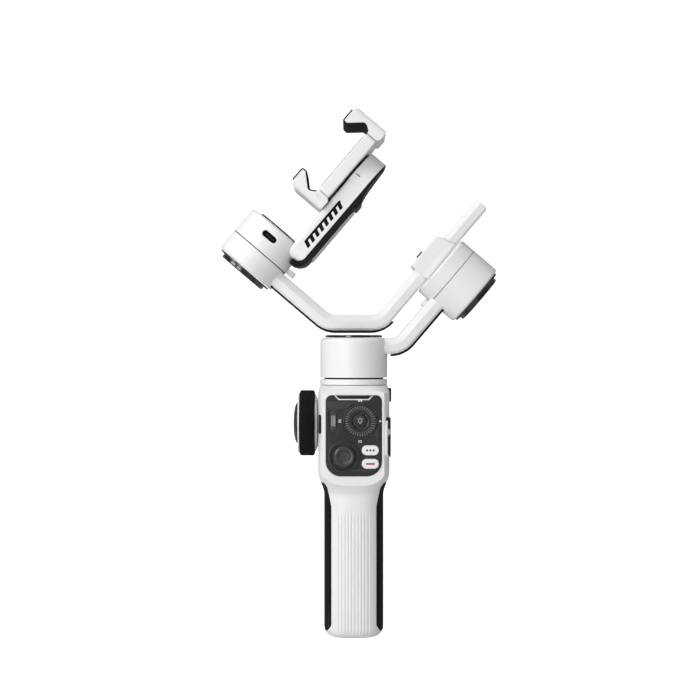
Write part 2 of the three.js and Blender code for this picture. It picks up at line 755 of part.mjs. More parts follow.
function triggerLever() {
  const [y, z] = triggerPivot;
  const shape = new THREE.Shape();
  shape.moveTo(y - 3, z - 1.5);
  shape.lineTo(y - 3, z + 2.4);
  shape.quadraticCurveTo(y, z + 4, y + 3.6, z + 3);
  shape.quadraticCurveTo(y + 6.8, z - 6, y + 8.4, z - 14);
  shape.quadraticCurveTo(y + 9.6, z - 20, y + 13, z - 24.4);
  shape.quadraticCurveTo(y + 13.6, z - 27, y + 10.8, z - 27.4);
  shape.quadraticCurveTo(y + 7, z - 26, y + 5.4, z - 18);
  shape.quadraticCurveTo(y + 3.6, z - 8, y + 1, z - 4);
  shape.quadraticCurveTo(y - 1, z - 3, y - 3, z - 1.5);
  const lever = sideways(shape, -triggerHalfWidth, triggerHalfWidth, 1, 4);
  return cut(lever, cylinderX(triggerPinRadius + RUN, -20, 20, SMALL_SIDES).translate([0, y, z]));
}

const triggerPin = () =>
  cylinderX(triggerPinRadius, -triggerHalfWidth - 3.6, triggerHalfWidth + 3.6, SMALL_SIDES)
    .translate([0, triggerPivot[0], triggerPivot[1]]);

// ---------------------------------------------------------------------------------------------
// Motors: each is a fixed housing with a winding core, and a turning half with the shaft
// ---------------------------------------------------------------------------------------------

// A cup from its closed end to its open one, with a round outer edge at the closed end.
function motorCup(radius, closed, open, edge = 1.6) {
  const way = Math.sign(open - closed);
  const profile = [
    [0, closed], [radius - edge, closed], [radius - 0.3 * edge, closed + 0.3 * edge * way],
    [radius, closed + edge * way], [radius, open], [radius - motorWall, open],
    [radius - motorWall, closed + motorWall * way], [0, closed + motorWall * way],
  ];
  return way > 0 ? profile : profile.reverse();
}

// A two-step cap disc, from its seat outwards.
function motorCap(radius, step, seat, way) {
  const profile = [
    [0, seat], [radius, seat], [radius, seat + 0.9 * way], [step, seat + 1.1 * way],
    [step, seat + (capHeight - 0.9) * way],
    [step - 1.4, seat + capHeight * way], [0, seat + capHeight * way],
  ];
  return way > 0 ? profile : profile.reverse();
}

const statorRing = (bottom, top) => [
  [shaftRadius + RUN, bottom], [statorRadius - 4, bottom], [statorRadius - 4, bottom + 1.5],
  [statorRadius, bottom + 1.5], [statorRadius, top - 1.5], [statorRadius - 4, top - 1.5],
  [statorRadius - 4, top], [shaftRadius + RUN, top], [shaftRadius + RUN, bottom],
];

function panPieces() {
  const housing = turned(motorCup(panRadius, panTop, panBottom, 3.2));
  const cap = turned([
    [0, panTop + SEAT], [panRadius - 3, panTop + SEAT], [panRadius - 3, panCapTop - 0.5],
    [panRadius - 3.6, panCapTop], [0, panCapTop],
  ]);
  const shaft = cylinder(shaftRadius, collarBottom + 1, panTop - motorWall - SEAT, SMALL_SIDES);
  return [
    piece("pan_housing", housing, white),
    piece("pan_cap", cap, glossBlack),
    piece("pan_shaft", shaft, steel),
  ];
}

// The pan arm's middle line in the roll frame: level from the pan motor, then leaning.
function panArmRoute() {
  const level = panBottom + panArmHeight;
  const inRollFrame = (x, z) => {
    const [dx, dz] = [x - rollCentre.x, z - rollCentre.z];
    return [
      dx * Math.cos(armLean) + dz * Math.sin(armLean),
      dz * Math.cos(armLean) - dx * Math.sin(armLean),
    ];
  };
  const start = inRollFrame(0, level);
  const leanZ = -panArmDrop;
  // The level line meets z = leanZ where its height above the roll centre gives that height.
  const along = (level - rollCentre.z - leanZ * Math.cos(armLean)) / Math.sin(armLean);
  return route([start, [along, leanZ], [0, leanZ]], armBend);
}

// The sliding lock beside a motor's split, standing out on the side of -x, about the motor's axis.
function lockTab(radius, bottom, grow = 0) {
  const inner = radius + SEAT;
  const shape = rounded(
    -inner - lockTabReach - grow, -inner + grow, -lockTabWidth / 2 - grow, lockTabWidth / 2 + grow, 1.2,
  );
  return lying(shape, bottom - grow, bottom + lockTabLength + grow, grow ? 0 : 0.5);
}

function rollFixedPieces() {
  const clearOfHousing = cylinder(rollRadius + SEAT, rollBottom - 10, rollRotorTop + 20, LARGE_SIDES);
  const clearOfPan = solid(
    new THREE.CylinderGeometry(panRadius + SEAT, panRadius + SEAT, 80, LARGE_SIDES).rotateX(Math.PI / 2),
  )
    .translate([-rollCentre.x, 0, panTop - rollCentre.z])
    .rotate([0, armLean / DEGREE, 0]);
  const samples = panArmRoute();
  const arm = cut(
    standing(band(samples, -armThickness / 2, armThickness / 2), -armDepth / 2, armDepth / 2, armEdge),
    clearOfHousing,
    clearOfPan,
    lockTab(rollRadius, rollRotorBottom - lockTabTravel, 0.4),
  );
  const bendStart = samples.slice(1);
  const under = -armThickness / 2 - SEAT;
  const stator = statorRing(rollBottom + motorWall + 0.4, rollSplit - 0.6);
  const strip = cut(
    standing(band(bendStart, under - stripThickness, under), -stripDepth / 2, stripDepth / 2),
    clearOfHousing,
    clearOfPan,
  );
  return [
    piece("pan_arm", arm, white),
    piece("pan_arm_strip", strip, dark),
    piece("roll_housing", turned(motorCup(rollRadius, rollBottom, rollSplit)), white),
    piece("roll_cap", turned(motorCap(capRadius, capStepRadius, rollBottom - SEAT, -1)), glossBlack),
    piece("roll_stator", turned(stator, MIDDLE_SIDES), copper),
  ];
}

// A rotor: a shallow cup that closes on the far side of the split, with or without its own shaft.
function rotorProfile(radius, open, closed, edge, shaftEnd) {
  const inner = closed - motorWall;
  const cup = [
    [radius - motorWall, inner], [radius - motorWall, open], [radius, open], [radius, closed - edge],
    [radius - edge * 0.35, closed - edge * 0.35], [radius - edge, closed], [0, closed],
  ];
  return [[0, shaftEnd], [shaftRadius, shaftEnd], [shaftRadius, inner], ...cup];
}

function clampBox() {
  const top = clampBoxTop;
  const bottom = rollRotorTop + SEAT;
  const shape = new THREE.Shape();
  shape.moveTo(-clampBoxHalfWidth, bottom);
  shape.lineTo(clampBoxHalfWidth + clampBoxFlare, bottom);
  shape.lineTo(clampBoxHalfWidth, top - 1.8);
  shape.quadraticCurveTo(clampBoxHalfWidth - 0.3, top, clampBoxHalfWidth - 2, top);
  shape.lineTo(-clampBoxHalfWidth + 1.8, top);
  shape.quadraticCurveTo(-clampBoxHalfWidth, top, -clampBoxHalfWidth, top - 1.8);
  const half = armDepth / 2 + SEAT + clampBoxSide;
  const channel = armDepth / 2 + SEAT;
  return cut(
    standing(shape, -half, half, 1),
    box(-40, 40, -channel, channel, bottom - 5, armOver + SEAT),
    cylinder(lockScrewRadius + SEAT, top - 0.6, top + 5, SMALL_SIDES).translate([lockScrewOffset, 0, 0]),
    cylinder(1.5, top - 8, top + 5, SMALL_SIDES).translate([lockScrewOffset, 0, 0]),
  );
}

function lockScrew() {
  const low = armOver + SEAT;
  const seat = clampBoxTop - 0.6 + SEAT;
  const head = [
    [0, low], [1.2, low], [1.2, seat], [lockScrewRadius, seat],
    [lockScrewRadius, seat + 0.9], [lockScrewRadius - 0.3, seat + 1.2], [0, seat + 1.2],
  ];
  const slot = box(-0.4, 0.4, -1.8, 1.8, seat + 0.7, seat + 3);
  return cut(turned(head, SMALL_SIDES), slot).translate([lockScrewOffset, 0, 0]);
}

function rollTurningPieces() {
  const shaftEnd = rollBottom + motorWall + 0.4;
  const rotor = turned(rotorProfile(rollRadius, rollRotorBottom, rollRotorTop, 1.5, shaftEnd));
  return [
    piece("roll_rotor_shell", rotor, white),
    piece("arm_clamp", clampBox(), white),
    piece("roll_lock_tab", lockTab(rollRadius, rollRotorBottom), white),
    piece("arm_lock_screw", lockScrew(), dark),
  ];
}

// ---------------------------------------------------------------------------------------------
// Swing arm with the tilt motor's fixed half
// ---------------------------------------------------------------------------------------------

// From the tilt motor down the upright, level above the pan motor, then up through the clamp.
function swingArmRoute() {
  const level = panCapTop + armClearance + stripThickness + SEAT + armThickness / 2;
  const rise = (x, z) =>
    rollCentre.z + x * Math.sin(armLean) + z * Math.cos(armLean);
  const cornerX = (level - rise(0, armMiddle)) / Math.sin(armLean);
  const cornerZ = (level - rise(uprightMiddle, 0)) / Math.cos(armLean);
  return route(
    [[uprightMiddle, tiltAxis - 4], [uprightMiddle, cornerZ], [cornerX, armMiddle], [armTail, armMiddle]],
    armBend,
  );
}

// Moves a solid drawn about a motor axis along x through the origin to the tilt axis.
const atTiltAxis = (shape) => shape.translate([0, 0, tiltAxis]);

// The tilt motor's lock, on the underside, from `left` towards the phone.
const tiltTab = (left, grow = 0) =>
  atTiltAxis(lockTab(tiltRadius, -left - lockTabLength, grow).rotate([0, -90, 0]));

function swingArmPieces() {
  const samples = swingArmRoute();
  const clearOfHousing = atTiltAxis(
    cylinderX(tiltRadius + SEAT, tiltLeft - 20, tiltSplit + 30, LARGE_SIDES),
  );
  const arm = cut(
    standing(band(samples, -armThickness / 2, armThickness / 2, 2.6), -armDepth / 2, armDepth / 2, armEdge),
    clearOfHousing,
    tiltTab(tiltRotorLeft - lockTabTravel, 0.4),
  );
  const outside = -armThickness / 2 - SEAT;
  const covered = samples.slice(0, -1);
  const strip = cut(
    standing(band(covered, outside - stripThickness, outside), -stripDepth / 2, stripDepth / 2),
    clearOfHousing,
  );
  const housing = turnedAboutX(motorCup(tiltRadius, tiltLeft, tiltSplit));
  const cap = turnedAboutX(motorCap(capRadius, capStepRadius, tiltLeft - SEAT, -1));
  const stator = turnedAboutX(statorRing(tiltLeft + motorWall + 0.4, tiltSplit - 0.6), MIDDLE_SIDES);
  return [
    piece("swing_arm", arm, white),
    piece("swing_arm_strip", strip, dark),
    piece("tilt_housing", atTiltAxis(housing), white),
    piece("tilt_cap", atTiltAxis(cap), glossBlack),
    piece("tilt_stator", atTiltAxis(stator), copper),
  ];
}

// ---------------------------------------------------------------------------------------------
// Tilting half: rotor, shaft, accessory port and phone cradle
// ---------------------------------------------------------------------------------------------

const portCentre = (tiltRotorLeft + tiltRotorRight) / 2 + portOffset;

// The port's oval, seen from the front, about the tilt axis.
const portOval = (grow) => roundedAt([portCentre, 0], 3.4 + 2 * grow, 9.4 + 2 * grow, 1.69 + grow);

function tiltRotor() {
  const inner = tiltRadius - motorWall;
  const wall = tiltRotorRight - motorWall;
  const rotor = turnedAboutX([
    [shaftRadius + SEAT, wall], [inner, wall], [inner, tiltRotorLeft], [tiltRadius, tiltRotorLeft],
    [tiltRadius, tiltRotorRight - 2.2], [tiltRadius - 2, tiltRotorRight],
    [shaftRadius + SEAT, tiltRotorRight], [shaftRadius + SEAT, wall],
  ]);
  const recess = standing(portOval(1.1), -40, -tiltRadius + 0.7);
  return cut(rotor, standing(portOval(SEAT), -40, 0), recess);
}

function tiltShaft() {
  const disc = tiltRotorRight + SEAT;
  return turnedAboutX([
    [0, tiltLeft + motorWall + 0.4], [shaftRadius, tiltLeft + motorWall + 0.4], [shaftRadius, disc],
    [shaftDiscRadius, disc], [shaftDiscRadius, disc + shaftDiscThickness], [0, disc + shaftDiscThickness],
  ], MIDDLE_SIDES);
}

function tiltUsbPort() {
  const block = standing(portOval(0), -tiltRadius + 0.6, -tiltRadius + 6);
  return cut(block, standing(roundedAt([portCentre, 0], 2.4, 8.2, 1.19), -40, -tiltRadius + 4.6));
}

// The cradle's outline from above, half round at the clamp's end.
function cradlePlan(left, inset, leftRadius = 6) {
  const half = cradleHalfWidth - inset;
  const shape = new THREE.Shape();
  shape.absarc(clampAxis, 0, half, -Math.PI / 2, Math.PI / 2, false);
  shape.absarc(left + inset + leftRadius, half - leftRadius, leftRadius, Math.PI / 2, Math.PI, false);
  shape.absarc(left + inset + leftRadius, leftRadius - half, leftRadius, Math.PI, 1.5 * Math.PI, false);
  return shape;
}

const clearOfRotor = () =>
  joined(
    cylinderX(tiltRadius + SEAT, tiltSplit - 1, tiltRotorRight + SEAT, LARGE_SIDES),
    cylinderX(shaftDiscRadius + 2 * SEAT, tiltRotorRight, tiltRotorRight + shaftDiscThickness + 2 * SEAT),
  );

const coreRight = -6;
const coreTop = cradleTop - cradleWall;

function cradleShell() {
  const bevel = cradleTop - cradleEdge;
  const crowned = lying(cradlePlan(cradleLeft, 0), 2 * cradleSeam - cradleTop, cradleTop, bevel, 5);
  const seamLine = rounded(cradleLeft, 90, cradleSeam, 10, [cradleCorner, 0.1, 0.1, 0.1]);
  const slab = crowned.intersect(standing(seamLine, -40, 40));
  const boss = turned([
    [0, cradleEdge - 1], [cradleHalfWidth, cradleEdge - 1], [cradleHalfWidth, cradleTop - 0.5],
    [cradleHalfWidth - 0.5, cradleTop], [0, cradleTop],
  ]).translate([clampAxis, 0, 0]);
  const cavity = lying(
    rounded(
      cradleLeft + cradleWall, coreRight,
      -cradleHalfWidth + cradleWall, cradleHalfWidth - cradleWall, 3,
    ),
    cradleSeam - 5,
    coreTop,
  );
  // The bars stand on the lower edge and stop short of the upper one.
  const lastSlot = grilleLeft + grilleBars * grillePitch + grilleSlot;
  const slots = [
    standing(
      outline([
        [grilleLeft + grilleLean, grilleHigh - grilleGap], [lastSlot + grilleLean, grilleHigh - grilleGap],
        [lastSlot + grilleLean, grilleHigh], [grilleLeft + grilleLean, grilleHigh],
      ]),
      -40,
      40,
    ),
  ];
  for (let i = 0; i <= grilleBars; i++) {
    const low = grilleLeft + i * grillePitch;
    slots.push(standing(
      outline([
        [low, grilleLow], [low + grilleSlot, grilleLow],
        [low + grilleSlot + grilleLean, grilleHigh], [low + grilleLean, grilleHigh],
      ]),
      -40,
      40,
    ));
  }
  const pivotHole = cylinder(pivotRadius + RUN, cradleTop - 6, 10).translate([clampAxis, 0, 0]);
  return cut(joined(slab, boss), cavity, ...slots, pivotHole, clearOfRotor());
}

function cradleCover() {
  const top = cradleSeam - SEAT;
  const left = cradleCoverLeft;
  const radius = 8.3;
  const side = new THREE.Shape();
  const corner = [cradleLeft + cradleCorner, cradleSeam + cradleCorner];
  side.absarc(...corner, cradleCorner + SEAT, 1.5 * Math.PI, Math.PI, true);
  side.lineTo(cradleLeft - SEAT, -tiltRadius + 1.5);
  side.lineTo(left, -tiltRadius + 1.5);
  side.absarc(left + radius, coverBottom + radius, radius, Math.PI, 1.5 * Math.PI, false);
  side.lineTo(-8, coverBottom);
  side.lineTo(-7.4, coverBottom - coverHump);
  side.lineTo(-2.6, coverBottom - coverHump);
  side.lineTo(-2.2, coverBottom - coverHump / 2);
  side.quadraticCurveTo(2, cradleSeam - 1.5, clampAxis + cradleHalfWidth - 2.5, cradleSeam - 1.1);
  side.lineTo(clampAxis + cradleHalfWidth, top);
  const plan = lying(cradlePlan(left, 0.2, 7), -60, 20, 0, 5);
  const core = lying(
    rounded(
      cradleLeft + cradleWall + SEAT, coreRight - SEAT,
      -cradleHalfWidth + cradleWall + SEAT, cradleHalfWidth - cradleWall - SEAT, 3 - SEAT,
    ),
    top - 1,
    coreTop - SEAT,
  );
  return cut(joined(standing(side, -40, 40).intersect(plan), core), clearOfRotor());
}

function cradlePlate() {
  const top = coverBottom - SEAT;
  const shape = rounded(plateLeft, plateRight, -plateHalfWidth, plateHalfWidth, 3);
  return lying(shape, top - plateThickness, top, 0.15);
}

function tiltTurningPieces() {
  const shell = atTiltAxis(tiltRotor());
  return [
    piece("tilt_rotor_shell", shell, white),
    piece("tilt_shaft", atTiltAxis(tiltShaft()), glossBlack),
    piece("tilt_usb_port", atTiltAxis(tiltUsbPort()), dark),
    piece("tilt_lock_tab", tiltTab(tiltRotorLeft), white),
    piece("cradle_shell", atTiltAxis(cradleShell()), white),
    piece("cradle_back_cover", atTiltAxis(cradleCover()), dark),
    piece("cradle_plate", atTiltAxis(cradlePlate()), silver),
  ];
}

// ---------------------------------------------------------------------------------------------
// Phone clamp, drawn about its own pivot: x along the jaws, z up from the cradle's top
// ---------------------------------------------------------------------------------------------

const tableBottom = SEAT;
const barBottom = tableBottom + turntableHeight + SEAT;
const barTop = barBottom + barHeight;
const jawSeat = barHalfLength + SEAT;
const jawOuter = barHalfLength + jawThickness;
const jawTop = tableBottom + jawHeight;
const tongueMiddle = barBottom + barHeight / 2 - 0.4;
const tongueEnd = -barHalfLength + 3;

// The line that the rubber follows: over the tip of the hook and into the phone's notch.
function jawLine() {
  const tip = barHalfLength - 3.9;
  return route(
    [
      [jawOuter - 3.2, jawTop], [tip, jawTop], [tip, jawTop - 3.6],
      [barHalfLength + 3.3, jawTop - 11.5], [barHalfLength + 1, barTop + 0.6],
    ],
    [0, 1.7, 1.2, 1.5, 0],
  );
}

function jaw() {
  const inner = offset(jawLine(), jawPadThickness + SEAT);
  const shape = new THREE.Shape();
  shape.moveTo(jawSeat, tableBottom + 1.5);
  shape.lineTo(jawSeat + 1.5, tableBottom);
  shape.lineTo(jawOuter - 1.5, tableBottom);
  shape.quadraticCurveTo(jawOuter, tableBottom, jawOuter, tableBottom + 1.5);
  shape.lineTo(jawOuter, jawTop - 4.6);
  shape.quadraticCurveTo(jawOuter - 0.3, jawTop - 2.4, inner[0].x, inner[0].y);
  inner.slice(1).forEach((p) => shape.lineTo(p.x, p.y));
  shape.lineTo(jawSeat, barTop - 0.5);
  const plan = rounded(0, jawOuter, -barHalfWidth, barHalfWidth, [0.5, 3.5, 3.5, 0.5]);
  return standing(shape, -barHalfWidth - 5, barHalfWidth + 5, 0, 4).intersect(lying(plan, -5, 60));
}

const jawPad = () =>
  standing(band(jawLine(), 0, jawPadThickness), -barHalfWidth + 1.7, barHalfWidth - 1.7);

function clampPieces() {
  const table = joined(
    turned([
      [0, tableBottom], [turntableRadius, tableBottom], [turntableRadius, tableBottom + turntableHeight],
      [0, tableBottom + turntableHeight],
    ]),
    cylinder(pivotRadius, -5.5, tableBottom + 0.2),
  );
  const bar = cut(
    lying(
      rounded(-barHalfLength, barHalfLength, -barHalfWidth, barHalfWidth, 2),
      barBottom,
      barTop,
      1,
    ),
    lying(
      rounded(
        -barHalfLength + 2 - SEAT, barHalfLength - 2 + SEAT,
        -barHalfWidth + 3 - SEAT, barHalfWidth - 3 + SEAT, 3,
      ),
      barTop - 0.6,
      barTop + 3,
    ),
    box(
      tongueEnd - SEAT, 60, -tongueHalfWidth - SEAT, tongueHalfWidth + SEAT,
      tongueMiddle - tongueThickness / 2 - SEAT, tongueMiddle + tongueThickness / 2 + SEAT,
    ),
  );
  const pad = lying(
    rounded(-barHalfLength + 2, barHalfLength - 2, -barHalfWidth + 3, barHalfWidth - 3, 2.7),
    barTop - 0.6 + SEAT,
    barTop - 0.6 + SEAT + clampPadThickness,
    0.2,
  );
  return [
    piece("clamp_turntable", table, dark),
    piece("clamp_bar", bar, white),
    piece("clamp_bar_pad", pad, rubber),
    piece("lower_jaw", jaw().mirror([1, 0, 0]), white),
    piece("lower_jaw_pad", jawPad().mirror([1, 0, 0]), rubber),
  ];
}

function upperJawPieces() {
  const tongue = box(
    tongueEnd, jawSeat + 3.4, -tongueHalfWidth, tongueHalfWidth,
    tongueMiddle - tongueThickness / 2, tongueMiddle + tongueThickness / 2,
  );
  const socket = box(
    0, jawSeat + 3.4 + SEAT, -tongueHalfWidth - SEAT, tongueHalfWidth + SEAT,
    tongueMiddle - tongueThickness / 2 - SEAT, tongueMiddle + tongueThickness / 2 + SEAT,
  );
  return [
    piece("upper_jaw", cut(jaw(), socket), white),
    piece("upper_jaw_pad", jawPad(), rubber),
    piece("jaw_tongue", tongue, steel),
  ];
}

// ---------------------------------------------------------------------------------------------
// Assembly: a group for each piece of the chain, from the handle to the sliding jaw
// ---------------------------------------------------------------------------------------------

const gimbal = new THREE.Group();

const handle = new THREE.Group();
handle.add(
  ...handlePieces(),
  piece("pan_motor_base", panMotorBase(), dark),
  piece("control_panel", controlPanel(), panelGrey),
  piece("status_display", statusDisplay(), glossBlack),
  piece("control_dial", controlDial(), panelGrey),
  piece("dial_button", dialButton(), panelGrey),
  piece("joystick_yoke", joystickYoke(), steel),
  piece("joystick_cap", joystickCap(), rubber),
  piece("menu_button", keyBlock(menuCentre, menuWidth, menuHeight, 1.4, panelFront + 0.2), keyGrey),
  piece("mode_button", keyBlock(modeCentre, pillWidth, pillHeight, 2.8), white),
  piece("record_button", keyBlock(recordCentre, pillWidth, pillHeight, 2.8), white),
  piece("power_button", sideKey("power_button"), dark),
  piece("zoom_button", sideKey("zoom_button"), dark),
  piece("usb_charge_port", usbChargePort(), dark),
  piece("focus_wheel_ring", focusWheelRing(), rubber),
  piece("focus_wheel_hub", focusWheelHub(), white),
  piece("focus_wheel_cap", focusWheelCap(), panelGrey),
  piece("wheel_bushing", wheelBushing(), dark),
  piece("trigger", triggerLever(), dark),
  piece("trigger_pin", triggerPin(), steel),
);

const panYoke = new THREE.Group();
panYoke.add(...panPieces());

const rollFrame = new THREE.Group();
rollFrame.position.copy(rollCentre);
rollFrame.rotation.y = -armLean;
rollFrame.add(...rollFixedPieces(), ...rollTurningPieces(), ...swingArmPieces(), ...tiltTurningPieces());

const phoneClamp = new THREE.Group();
phoneClamp.position.set(clampAxis, 0, tiltAxis + cradleTop);
phoneClamp.add(...clampPieces(), ...upperJawPieces());

rollFrame.add(phoneClamp);
panYoke.add(rollFrame);
gimbal.add(handle, panYoke);

export default gimbal;
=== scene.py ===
"""Hand-held three-axis phone gimbal: the fine surfaces, finishes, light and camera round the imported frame.

Lengths below are millimetres. WORLD and ROLL turn them into metres in the row frame: WORLD is upright about
the handle's foot, and ROLL leans with the roll motor, with x along the tilt axis and z along the roll axis.
"""
import json
import math

import bmesh
import bpy
from mathutils import Matrix, Vector


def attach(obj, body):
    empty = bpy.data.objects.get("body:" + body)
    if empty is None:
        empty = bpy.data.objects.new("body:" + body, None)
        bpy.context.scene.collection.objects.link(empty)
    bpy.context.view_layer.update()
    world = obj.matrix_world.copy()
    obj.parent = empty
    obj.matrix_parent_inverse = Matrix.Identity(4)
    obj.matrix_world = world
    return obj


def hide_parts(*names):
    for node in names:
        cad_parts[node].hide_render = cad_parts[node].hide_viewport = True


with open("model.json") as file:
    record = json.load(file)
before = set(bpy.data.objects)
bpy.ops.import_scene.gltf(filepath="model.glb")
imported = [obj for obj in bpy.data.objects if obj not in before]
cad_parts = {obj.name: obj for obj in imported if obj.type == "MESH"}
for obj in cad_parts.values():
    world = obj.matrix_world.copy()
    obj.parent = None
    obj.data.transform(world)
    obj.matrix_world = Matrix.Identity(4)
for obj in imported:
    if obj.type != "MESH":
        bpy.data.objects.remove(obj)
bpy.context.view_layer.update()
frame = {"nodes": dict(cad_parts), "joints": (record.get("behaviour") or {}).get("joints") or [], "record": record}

MM = 0.001
joints = {joint["name"]: joint for joint in frame["joints"]}
body_of_node = {
    node: body for body, nodes in frame["record"]["behaviour"]["bodies"].items() for node in nodes
}
slot_of_node = {row["node"]: row["material_slot"] for row in frame["record"]["subparts"]}

# --------------------------------------------------------------------------------------------------
# Places taken from the frame
# --------------------------------------------------------------------------------------------------
WORLD = Matrix.Scale(MM, 4)


def roll_frame():
    """The leaning frame: x along the tilt axis, z along the roll axis, on the roll motor's axis."""
    along = Vector(joints["tilt_turn"]["axis"])
    up = Vector(joints["roll_turn"]["axis"])
    side = up.cross(along)
    turn = Matrix((along, side, up)).transposed().to_4x4()
    return Matrix.Translation(Vector(joints["roll_turn"]["pos_m"])) @ turn @ Matrix.Scale(MM, 4)


ROLL = roll_frame()


def span(node, place=WORLD):
    """Lowest and highest corner of a CAD node in a frame, in millimetres."""
    back = place.inverted()
    points = [back @ vertex.co for vertex in frame["nodes"][node].data.vertices]
    low = Vector([min(p[i] for p in points) for i in range(3)])
    high = Vector([max(p[i] for p in points) for i in range(3)])
    return low, high


def middle(node, place=WORLD):
    low, high = span(node, place)
    return (low + high) / 2


# --------------------------------------------------------------------------------------------------
# Camera, light and stage
# --------------------------------------------------------------------------------------------------
def set_camera():
    data = bpy.data.cameras.new("camera")
    data.sensor_width = 36
    data.lens = 85.25
    data.clip_end = 20
    camera = bpy.data.objects.new("camera", data)
    camera.location = (-0.00225, -0.982, 0.1682)
    camera.rotation_euler = (math.radians(90), 0, 0)
    bpy.context.scene.collection.objects.link(camera)
    bpy.context.scene.camera = camera


def area_light(name, place, aim, size, power):
    data = bpy.data.lights.new(name, "AREA")
    data.shape = "RECTANGLE"
    data.size, data.size_y = size
    data.energy = power
    lamp = bpy.data.objects.new(name, data)
    lamp.location = place
    lamp.rotation_euler = (Vector(aim) - Vector(place)).to_track_quat("-Z", "Y").to_euler()
    bpy.context.scene.collection.objects.link(lamp)


SKY_ON_OBJECT = 0.26
SKY_SEEN = 1.0


def set_light():
    world = bpy.data.worlds.new("studio")
    world.use_nodes = True
    tree = world.node_tree
    tree.nodes["Background"].inputs["Color"].default_value = (1, 1, 1, 1)
    seen = tree.nodes.new("ShaderNodeLightPath")
    share = tree.nodes.new("ShaderNodeMapRange")
    share.inputs["To Min"].default_value = SKY_ON_OBJECT
    share.inputs["To Max"].default_value = SKY_SEEN
    tree.links.new(seen.outputs["Is Camera Ray"], share.inputs["Value"])
    tree.links.new(share.outputs[0], tree.nodes["Background"].inputs["Strength"])
    bpy.context.scene.world = world
    bpy.context.scene.view_settings.view_transform = "Standard"
    aim = (0, 0, 0.17)
    area_light("key_left", (-0.95, -0.75, 0.7), aim, (0.6, 0.6), 7.2)
    area_light("top_soft", (-0.2, -0.15, 1.25), aim, (0.7, 0.7), 4)
    area_light("front_left", (-0.5, -1.25, 0.3), aim, (0.45, 0.7), 6.5)
    area_light("side_right", (1.0, -0.2, 0.55), aim, (0.3, 0.9), 1.1)


def set_stage():
    """A pale floor that curves up into a backdrop behind the object."""
    floor, reach, bend, wall = -0.045, 2.6, 0.9, 2.6
    rows = [(-2.2, floor), (0.5, floor)]
    for step in range(1, 17):
        angle = math.radians(90 * step / 16)
        rows.append((0.5 + bend * math.sin(angle), floor + bend * (1 - math.cos(angle))))
    rows.append((0.5 + bend, wall))
    vertices = [(x, y, z) for y, z in rows for x in (-reach, reach)]
    faces = [(2 * i, 2 * i + 1, 2 * i + 3, 2 * i + 2) for i in range(len(rows) - 1)]
    mesh = bpy.data.meshes.new("backdrop")
    mesh.from_pydata(vertices, [], faces)
    for polygon in mesh.polygons:
        polygon.use_smooth = True
    backdrop = bpy.data.objects.new("backdrop", mesh)
    bpy.context.scene.collection.objects.link(backdrop)
    material = bpy.data.materials.new("backdrop_paper")
    material.use_nodes = True
    shader = material.node_tree.nodes["Principled BSDF"]
    shader.inputs["Base Color"].default_value = (0.6, 0.6, 0.6, 1)
    shader.inputs["Roughness"].default_value = 0.9
    shader.inputs["Emission Color"].default_value = (1, 1, 1, 1)
    seen = material.node_tree.nodes.new("ShaderNodeLightPath")
    glow = material.node_tree.nodes.new("ShaderNodeMapRange")
    glow.inputs["To Min"].default_value = 0.05
    glow.inputs["To Max"].default_value = 1.0
    material.node_tree.links.new(seen.outputs["Is Camera Ray"], glow.inputs["Value"])
    material.node_tree.links.new(glow.outputs[0], shader.inputs["Emission Strength"])
    mesh.materials.append(material)


set_camera()
set_light()
set_stage()


# --------------------------------------------------------------------------------------------------
# Finishes
# --------------------------------------------------------------------------------------------------
def new_group(name, inputs, outputs):
    group = bpy.data.node_groups.new(name, "ShaderNodeTree")
    for label, kind, value in inputs:
        socket = group.interface.new_socket(label, in_out="INPUT", socket_type=kind)
        socket.default_value = value
    for label, kind in outputs:
        group.interface.new_socket(label, in_out="OUTPUT", socket_type=kind)
    return group, group.nodes.new("NodeGroupInput"), group.nodes.new("NodeGroupOutput")


def node(tree, kind, **values):
    made = tree.nodes.new(kind)
    for name, value in values.items():
        if hasattr(made, name):
            setattr(made, name, value)
        else:
            made.inputs[name.replace("_", " ")].default_value = value
    return made


